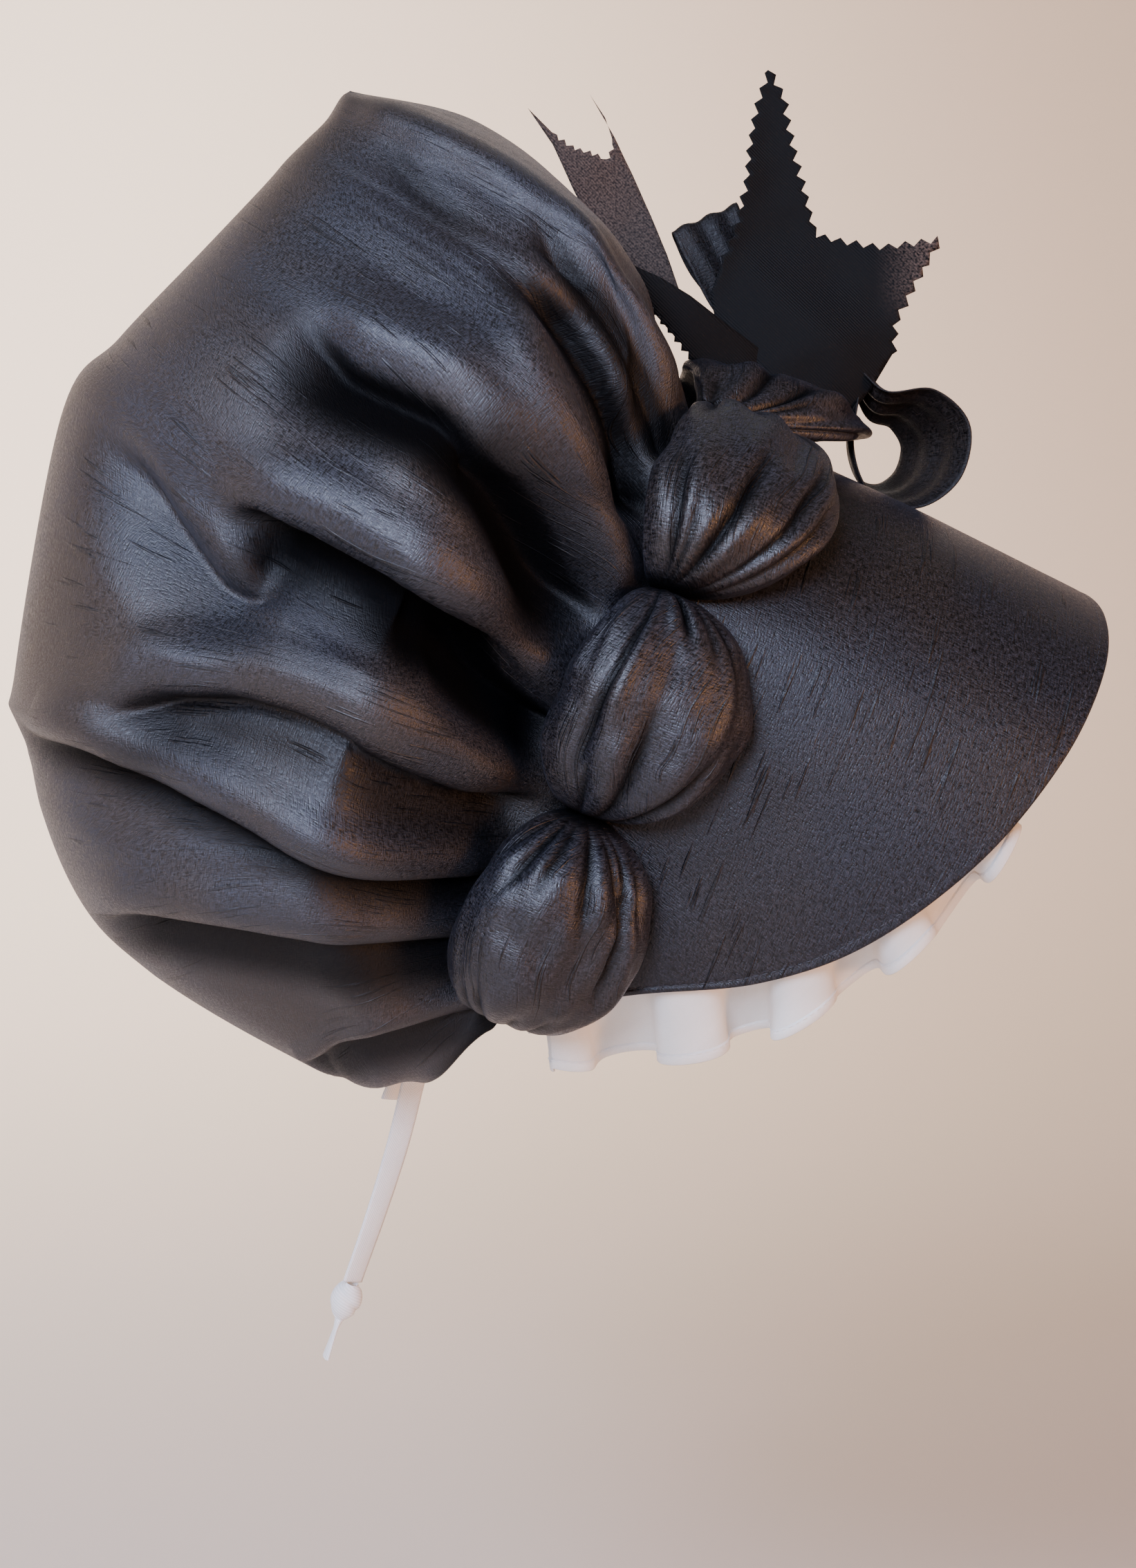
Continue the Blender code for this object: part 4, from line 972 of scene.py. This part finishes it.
brim = {"reach": 0.160, "edgeHalfWidth": 0.110, "wall": 0.0022, "curl": 0.012, "stitchLine": 3.0,
        "roundRows": 260, "forwardRows": 66}

# The brim's edge from cheek to top: share of the way round, reach, rise, width
brimEdgeTable = [(0.00, 0.03, -0.68, 0.74), (0.12, 0.24, -0.55, 0.82), (0.25, 0.49, -0.42, 0.90),
                 (0.37, 0.68, -0.25, 0.96), (0.50, 0.84, 0.01, 1.00), (0.63, 0.94, 0.28, 0.95),
                 (0.76, 0.99, 0.49, 0.76), (0.88, 1.01, 0.61, 0.43), (1.00, 1.01, 0.65, 0.00)]


def brimEdge(share):
    share = np.asarray(share, float)
    points = np.array([(width * brim["edgeHalfWidth"], rise * brim["reach"], -reach * brim["reach"])
                       for _, reach, rise, width in brimEdgeTable])
    points = np.concatenate([points, [[-points[-2][0], points[-2][1], points[-2][2]]]])
    where = np.interp(1 - np.abs(share), [row[0] for row in brimEdgeTable], range(len(brimEdgeTable)))
    edge = through(points, where)
    edge[..., 0] *= np.where(share >= 0, 1.0, -1.0)
    return edge


def brimOutside(share, forward):
    share, forward = np.broadcast_arrays(np.asarray(share, float), np.asarray(forward, float))
    spot, away = joinArch(share * halfJoin)
    start = np.stack([spot[..., 0], spot[..., 1], np.full(spot.shape[:-1], -gap)], -1)
    edge = brimEdge(share)
    curl = brim["curl"] * np.linalg.norm(edge - start, axis=-1) * np.sin(math.pi * forward)
    made = start + (edge - start) * forward[..., None]
    made[..., :2] += away * curl[..., None]
    return made


def brimInside(share, forward, below):
    near = brimOutside(share, forward)
    ahead, behind = np.minimum(share + 0.01, 1.0), np.maximum(share - 0.01, -1.0)
    roundStep = brimOutside(ahead, forward) - brimOutside(behind, forward)
    outStep = brimOutside(share, forward + 0.02) - near
    inward = unit(np.cross(outStep, roundStep))
    return near + inward * below, inward


def addBrim(silk):
    share = np.linspace(-1, 1, brim["roundRows"])[:, None]
    forward = np.linspace(0, 1, brim["forwardRows"])[None, :]
    length = np.linalg.norm(brimEdge(share[:, 0]) - brimOutside(share[:, 0], 0.0), axis=-1)
    outer = brimOutside(share, forward)
    _, inward = brimInside(share, np.minimum(forward, 0.97), 0.0)
    fromEdge = (1 - forward) * length[:, None] * 1000
    # The turned edge is pulled in a little along its stitches, and stands up as a thin roll outside them
    seam = np.exp(-((fromEdge - brim["stitchLine"]) / 0.9) ** 2)
    groove = 0.35 * seam - 0.25 * np.exp(-((fromEdge - 1.2) / 1.0) ** 2)
    unrest = ripple(share * 7, forward * 2.2, 11.0, 2) * 0.8
    unrest *= smooth(fromEdge / 25) * smooth(forward / 0.1)
    top = outer + inward * ((groove - unrest) * mm)[..., None]
    below = brim["wall"] * 1000 - unrest - 0.2 * seam
    bottom = outer + inward * (below * mm)[..., None]
    ahead = unit(outer[:, -1] - outer[:, -2])[:, None]
    edgeTop, edgeLow = top[:, -1:], bottom[:, -1:]
    middle = (edgeTop + edgeLow) / 2
    radius = np.linalg.norm(edgeTop - edgeLow, axis=-1, keepdims=True) / 2
    turns = np.radians(np.array([25, 50, 75, 105, 130, 155]))[None, :, None]
    roll = middle - inward[:, -1:] * radius * np.cos(turns) + ahead * radius * 0.8 * np.sin(turns)
    section = np.concatenate([top, roll, bottom[:, ::-1]], axis=1)
    run = runAlong(section)
    across = np.repeat(runAlong(outer[:, 40][None])[0][:, None], section.shape[1], 1)
    faces = tubeFaces(*section.shape[:2], flip=True)
    made = addMesh("brim_silk_cover", place(section), faces, np.stack([run, across], -1), silk)
    finishPiece(made, ["brim"])
    around = np.linspace(-0.985, 0.985, 400)
    inFromEdge = brim["stitchLine"] * mm / np.interp(around, share[:, 0], length)
    line, _ = brimInside(around, 1 - inFromEdge, 0.0002)
    thread = threadMaterial("black thread", "#26262c")
    addStitches("brim_edge_stitches", place(line), edgeStitch, thread)
    print("brim", len(made.data.polygons), "faces")


# The frill hangs inside the brim's edge in soft flutes
frill = {"width": 0.050, "inset": 0.027, "flute": 0.0115, "flutes": 17, "wall": 0.0010, "thick": 0.00045,
         "columns": 1080, "rows": 24, "hem": 0.0042, "hemThick": 0.00085}


def frillSeat(share):
    length = np.linalg.norm(brimEdge(share) - brimOutside(share, 0.0), axis=-1)
    inset = frill["inset"] * (1 + 1.2 * smooth((0.7 - np.abs(share)) / 0.5))
    forward = np.maximum(1 - inset / length, 0.12)
    seat, inward = brimInside(share, forward, brim["wall"] + gap + frill["wall"])
    ahead = unit(brimEdge(share) - seat)
    down = np.array([0, -math.cos(join["lean"]), -math.sin(join["lean"])])
    sideways = smooth((np.abs(share) - 0.35) / 0.3)[..., None]
    hang = down * sideways + ahead * (1.1 - sideways)
    hang = unit(hang - inward * (hang * inward).sum(-1, keepdims=True))
    return seat, inward, hang


def addFrill(cotton):
    share = np.linspace(-0.99, 0.99, frill["columns"])
    seat, inward, hang = frillSeat(share)
    chance = random.Random(12)
    widths = [chance.uniform(0.72, 1.34) for _ in range(frill["flutes"])]
    sizes = [chance.uniform(0.75, 1.25) for _ in range(frill["flutes"] + 1)]
    leans = [chance.uniform(-0.5, 0.5) for _ in range(frill["flutes"] + 1)]
    ends = np.concatenate([[0], np.cumsum(widths)]) / sum(widths)
    steps = np.arange(frill["flutes"] + 1)
    phase = np.interp((share + 0.99) / 1.98, ends, steps)
    size, lean = np.interp(phase, steps, sizes), np.interp(phase, steps, leans)
    endFade = 0.42 + 0.58 * smooth((0.99 - np.abs(share)) / 0.11)
    ahead = unit(np.gradient(seat, axis=0))
    wave = np.sin(2 * math.pi * phase)
    sideStep = np.sin(4 * math.pi * phase) * 0.34 + lean * 0.5 * np.cos(2 * math.pi * phase)
    rows = []
    for j in range(frill["rows"] + 1):
        way = j / frill["rows"]
        flare = way ** 0.85
        pleat = np.sin(2 * math.pi * phase * 3 + 2 * lean) * 0.0007 * (1 - way) ** 2
        leanIn = frill["flute"] * 1.35 * way + 0.10 * frill["width"] * way
        drop = frill["width"] * endFade * way * (1 + 0.03 * lean)
        bulge = leanIn + wave * size * frill["flute"] * 1.1 * flare + pleat
        spot = seat + hang * drop[:, None] + inward * bulge[:, None]
        rows.append(spot - ahead * (sideStep * size * frill["flute"] * flare)[:, None])
    grid = np.array(rows)
    downward = np.linspace(0, frill["width"], frill["rows"] + 1)
    uvs = np.stack([runAlong(grid), np.repeat(downward[:, None], len(share), 1)], -1)
    world = place(grid)
    made = addMesh("frill_lawn", world, gridFaces(gridNumbers(*grid.shape[:2])), uvs, cotton)
    made = addThickness(made, frill["thick"])
    finishPiece(made, ["frill"])
    # The rolled hem along the lower edge
    edge, above = world[-1], world[-2]
    addHem(edge, above, cotton)
    lift = unit(np.cross(unit(np.gradient(edge, axis=0)), unit(above - edge)))
    thread = threadMaterial("white thread", "#f1efe9")
    for name, side in (("frill_hem_stitches", 1), ("frill_hem_stitches_inside", -1)):
        line = edge + unit(above - edge) * (frill["hem"] * 0.85) + lift * (side * 0.0006)
        addStitches(name, line, hemStitch, thread)
    print("frill", len(made.data.polygons), "faces")


def addHem(edge, above, cotton):
    up = unit(above - edge)
    ahead = unit(np.gradient(edge, axis=0))
    out = unit(np.cross(ahead, up))
    outline = [(0.62, frill["hem"] * 0.5), (0.62, 0.0), (0.3, -0.0004), (-0.3, -0.0004), (-0.62, 0.0),
               (-0.62, frill["hem"] * 0.5), (-0.5, frill["hem"]), (0.5, frill["hem"])]
    rows = np.array([edge + out * (frill["hemThick"] * side) + up * rise for side, rise in outline])
    numbers = gridNumbers(*rows.shape[:2])
    faces = gridFaces(np.concatenate([numbers, numbers[:1]], axis=0), flip=True)
    faces += [numbers[:, 0].tolist(), numbers[::-1, -1].tolist()]
    uvs = np.stack([runAlong(rows), np.repeat(np.arange(len(outline))[:, None] * 0.001, rows.shape[1], 1)], -1)
    made = addMesh("frill_hem", rows, faces, uvs, cotton)
    finishPiece(made)


bow = {"size": 0.110, "forward": 0.040, "side": 0.010, "knotLength": 0.020, "knotWidth": 0.024, "thick": 0.0006,
       "loopWidth": 0.046, "wall": 0.0011}

# Tails: outline as shares of the bow's size (forward, up) from the knot, the stretch of it that was
# cut with pinking shears, where it stands sideways at the knot and at its tip, and its flat size
bowTails = {
    "bow_tail_tall": {
        "outline": [(-0.02, -0.16), (-0.20, -0.05), (-0.33, 0.06), (-0.40, 0.16), (-0.42, 0.25),
                    (-0.37, 0.38), (-0.32, 0.52), (-0.29, 0.64), (-0.28, 0.76), (-0.26, 0.88),
                    (-0.21, 1.03), (-0.16, 0.93), (-0.13, 0.78), (-0.09, 0.62), (-0.05, 0.46), (0.06, 0.43),
                    (0.18, 0.41), (0.28, 0.42), (0.37, 0.44), (0.32, 0.35), (0.27, 0.25), (0.22, 0.15),
                    (0.22, 0.06), (0.14, -0.07), (0.05, -0.18)],
        "pinked": (5, 22), "tooth": 0.0060, "base": -0.145, "left": 0.00, "right": -0.13,
        "flat": (0.052, 0.085)},
    "bow_tail_thin": {
        "outline": [(-0.10, -0.06), (-0.40, 0.00), (-0.58, 0.20), (-0.69, 0.33), (-0.78, 0.46),
                    (-0.88, 0.65), (-0.95, 0.80), (-1.04, 0.93), (-0.94, 0.83), (-0.88, 0.79),
                    (-0.82, 0.77), (-0.755, 0.745), (-0.735, 0.80), (-0.765, 0.89), (-0.82, 0.97),
                    (-0.73, 0.82), (-0.67, 0.70), (-0.60, 0.55), (-0.54, 0.41), (-0.49, 0.27),
                    (-0.36, 0.10), (-0.10, 0.04)],
        "pinked": (8, 12), "tooth": 0.0036, "base": 0.10, "left": 0.32, "right": 0.22,
        "flat": (0.020, 0.115)},
    "bow_tail_lying": {
        "outline": [(-0.09, -0.13), (-0.25, -0.08), (-0.38, -0.03), (-0.50, 0.03), (-0.59, 0.14),
                    (-0.66, 0.24), (-0.71, 0.35), (-0.60, 0.30), (-0.50, 0.24), (-0.38, 0.15),
                    (-0.25, 0.06), (-0.10, 0.02)],
        "pinked": (3, 6), "tooth": 0.0044, "base": -0.09, "left": -0.12, "right": -0.08,
        "flat": (0.022, 0.068)},
}
# Loops: the width and how much of it the far edge keeps, the way across the ribbon, its start and end
# on the knot and its way between, in shares of the bow's size (sideways, forward, up)
bowLoops = {
    "bow_loop_front": {
        "wide": 0.8, "far": 0.45, "across": (1.0, 0.0, 0.0), "start": (-0.20, 1.00, 0.10),
        "way": [(-0.06, 0.18, -0.08), (-0.06, 0.34, -0.08), (-0.06, 0.46, -0.20), (-0.06, 0.43, -0.38),
                (-0.06, 0.29, -0.48), (-0.06, 0.13, -0.44), (-0.06, 0.06, -0.28)],
        "end": (-0.20, 0.90, -0.45)},
    "bow_loop_back": {
        "wide": 0.62, "far": 1.0, "across": (0.15, 0.90, 0.38), "start": (0.10, -0.60, 0.90),
        "way": [(0.08, -0.26, 0.20), (0.09, -0.37, 0.40), (0.12, -0.42, 0.52), (0.19, -0.41, 0.50),
                (0.21, -0.34, 0.36), (0.18, -0.20, 0.20)],
        "end": (0.70, -0.40, 0.70)},
}


def bowSeat():
    shoulder = (bow["forward"] - puff["forward"]) / (puff["width"] / 2)
    puffFlat = math.cos(math.pi / 12) * max(1 - shoulder ** 2, 0.0) ** 0.5
    puffTop = puff["topThickness"] / 2 * (1 + puffFlat)
    top = join["spring"] + join["archRise"] + puffTop + puffLift(puff["forward"], puff["width"] / 2)
    return place([bow["side"], top + bow["knotWidth"] / 2 * math.cos(math.pi / 12) + gap, -bow["forward"]])


def bowPoint(point):
    return bowSeat() + np.array([point[0], -point[1], point[2]]) * bow["size"]


def bowRoot(point):
    out = np.array([point[0], -point[1], point[2]])
    out = out * np.array([bow["knotWidth"], bow["knotLength"], bow["knotWidth"]]) / 2
    return bowSeat() + out + unit(out) * (gap + bow["wall"] / 3)


# The outline of a tail with its pinked teeth, as points in metres (forward, up)
def pinkedOutline(tail):
    corners = np.array(tail["outline"]) * bow["size"]
    first, last = tail["pinked"]
    closed = np.concatenate([corners, corners[:1]])
    runs = np.concatenate([[0], np.cumsum(np.linalg.norm(np.diff(closed, axis=0), axis=1))])
    half = tail["tooth"] / 2
    count = 2 * round((runs[last] - runs[first]) / half / 2)
    # The corners of the cut are kept, so that the tips stay sharp
    stops = np.linspace(runs[first], runs[last], count + 1)
    for corner in range(first + 1, last):
        nearest = int(np.argmin(np.abs(stops - runs[corner])))
        if nearest % 2 == 0:
            stops[nearest] = runs[corner]
    points = []
    turned = 1 if (closed[:-1, 0] * closed[1:, 1] - closed[1:, 0] * closed[:-1, 1]).sum() > 0 else -1
    chance = random.Random(5)
    for number, stop in enumerate(stops):
        spot = np.array([np.interp(stop, runs, closed[:, k]) for k in range(2)])
        ahead = np.array([np.interp(stop + 0.0005, runs, closed[:, k]) for k in range(2)]) - spot
        out = np.array([ahead[1], -ahead[0]]) / (np.linalg.norm(ahead) + 1e-9) * turned
        depth = half * 0.80 * (1 + chance.uniform(-0.2, 0.2))
        points.append(spot + out * (depth / 2 if number % 2 == 0 else -depth / 2))
    plain = []
    for k in range(last, len(corners) + first):
        a, b = closed[k % len(corners)], closed[(k + 1) % len(corners)]
        steps = max(int(np.linalg.norm(b - a) / 0.002), 1)
        plain += [a + (b - a) * j / steps for j in range(1, steps)]
        if k < len(corners) + first - 1:
            plain.append(b)
    return np.array(points + plain)


def addTail(name, tail, ribbon):
    edge = pinkedOutline(tail)
    low, high = edge.min(axis=0), edge.max(axis=0)
    step = 0.0016
    inner = []
    for j in range(int((high[1] - low[1]) / step)):
        for i in range(int((high[0] - low[0]) / step)):
            spot = low + step * np.array([i + 0.5 * (j % 2), j + 0.5])
            if np.linalg.norm(edge - spot, axis=1).min() > step * 0.6:
                inner.append(spot)
    flatPoints = [Vector(p) for p in edge] + [Vector(p) for p in inner]
    ring = [(k, (k + 1) % len(edge)) for k in range(len(edge))]
    points, _, faces, _, _, _ = delaunay_2d_cdt(flatPoints, ring, [list(range(len(edge)))], 1, 1e-7)
    points = np.array([tuple(p) for p in points]) / bow["size"]
    forward, up = points[:, 0], points[:, 1]
    away = np.hypot(forward, up)
    side = smooth((forward - up * 0.15 + 0.42) / 0.8)
    stands = tail["left"] + (tail["right"] - tail["left"]) * side
    sideways = tail["base"] + (stands - tail["base"]) * smooth(away / 0.55)
    # A soft roll and some unrest, so that it isn't flat
    sideways = sideways + 0.035 * np.sin(forward * 7 + up * 3 + len(name)) * smooth(away / 0.3)
    sideways = sideways + ripple(forward * 4, up * 4, float(len(name)), 2) * 0.012
    verts = bowSeat() + np.stack([sideways, -forward, up], -1) * bow["size"]
    made = addMesh(name + "_ribbon", verts, [list(face) for face in faces], points * bow["size"], ribbon)
    print(name, "area", round(sum(f.area for f in made.data.polygons) * 10000, 1), "cm2")
    made = addThickness(made, bow["thick"])
    finishPiece(made, [name])


def addLoop(name, loop, ribbon):
    points = [bowRoot(loop["start"])] + [bowPoint(p) for p in loop["way"]] + [bowRoot(loop["end"])]
    steps = 84
    spots = through(points, np.linspace(0, len(points) - 1, steps + 1))
    grown = np.sin(math.pi * np.linspace(0, 1, steps + 1)) ** 0.5
    taper = 0.42 + 0.58 * grown
    half = bow["loopWidth"] * loop["wide"] / 2
    centre = spots.mean(axis=0)
    across = unit(np.array([loop["across"][0], -loop["across"][1], loop["across"][2]]))
    flat = unit(np.cross(unit(np.gradient(spots, axis=0)), across))
    rows, uvs = [], []
    for side in np.linspace(-1, 1, 21):
        pleat = (np.cos(side * 3 * math.pi) * 0.0030 * (1 - taper)
                 + 0.0006 * np.cos(side * 2.6 * math.pi + np.linspace(0, 4, steps + 1)))
        # The far edge runs on a smaller round, so that the eye looks into the loop
        narrow = 1 - (1 - loop["far"]) * (1 + side) / 2
        edge = centre + (spots - centre) * (1 + (narrow - 1) * grown)[:, None]
        sunk = (1 - loop["far"]) * (1 + side) / 2 * grown
        edge = edge + np.array([0, 0.10, -0.10]) * bow["size"] * sunk[:, None]
        rows.append(edge + across * (half * taper * side)[:, None] + flat * pleat[:, None])
        uvs.append(np.stack([np.full(steps + 1, side * half), runAlong(spots)], -1))
    faces = gridFaces(gridNumbers(len(rows), steps + 1))
    made = addMesh(name + "_ribbon", np.array(rows), faces, np.array(uvs), ribbon)
    made = addThickness(made, bow["thick"])
    finishPiece(made, [name])


def addBowKnot(ribbon):
    rows, uvs = [], []
    rings, sides = 40, 64
    for i in range(rings + 1):
        way = math.sin(math.pi / 2 * (2 * i / rings - 1))
        full = 0.35 + 0.65 * (1 - way ** 2) ** 0.5
        for k in range(sides):
            turn = 2 * math.pi * k / sides
            pleats = 0.05 * math.cos(4 * turn + 1.5 * way) + 0.035 * math.cos(9 * turn - 2.4 * way + 1)
            reach = bow["knotWidth"] / 2 * full * (1 + pleats)
            spot = [math.cos(turn) * reach, -way * bow["knotLength"] / 2, math.sin(turn) * reach]
            rows.append(bowSeat() + np.array(spot))
            uvs.append((turn * bow["knotWidth"] / 2, way * bow["knotLength"] / 2))
    faces = tubeFaces(rings + 1, sides, flip=True)
    made = addMesh("bow_knot_ribbon", np.array(rows), faces, np.array(uvs), ribbon)
    finishPiece(made, ["bow_knot"])


addCamera()
addStudio()
addTape()
print("tape done")
crownSilk = silkDupioni("black silk dupioni, crown", "#15171d", "#1d1713", roughness=0.50, gloss=0.54)
brimSilk = silkDupioni("black silk dupioni, brim", "#0f1015", "#15110f", gloss=0.30)
puffSilk = silkDupioni("black silk dupioni, puffs", "#121318", "#19130f", roughness=0.42, gloss=0.42)
liningSilk = silkDupioni("black lining", "#131316", "#161413", roughness=0.6, slubs=0.2)
ribbonSilk = silkDupioni("black ribbon", "#0b0a0c", "#15100d", roughness=0.55, slubs=0.3, sheen=0.02,
                         gloss=0.20)
tailTwill = twillRibbon("black twill, tall tail", "#060607", "#54463e", 0.027)
thinTwill = twillRibbon("brown see-through twill", "#2a2321", "#54473f", -0.12)
plainTwill = twillRibbon("black twill", "#060607", "#1a1614", 1.0)
lawn = whiteCotton("cotton lawn", "#e4e1da", 0.0006)
addCrown(crownSilk, liningSilk)
for number in range(1, puff["count"] + 1):
    addPuff(number, puffSilk)
print("puffs done")
addBrim(brimSilk)
addFrill(lawn)
addBowKnot(ribbonSilk)
for (name, tail), ribbon in zip(bowTails.items(), (tailTwill, thinTwill, plainTwill)):
    addTail(name, tail, ribbon)
for name, loop in bowLoops.items():
    addLoop(name, loop, ribbonSilk)
print("bow done")
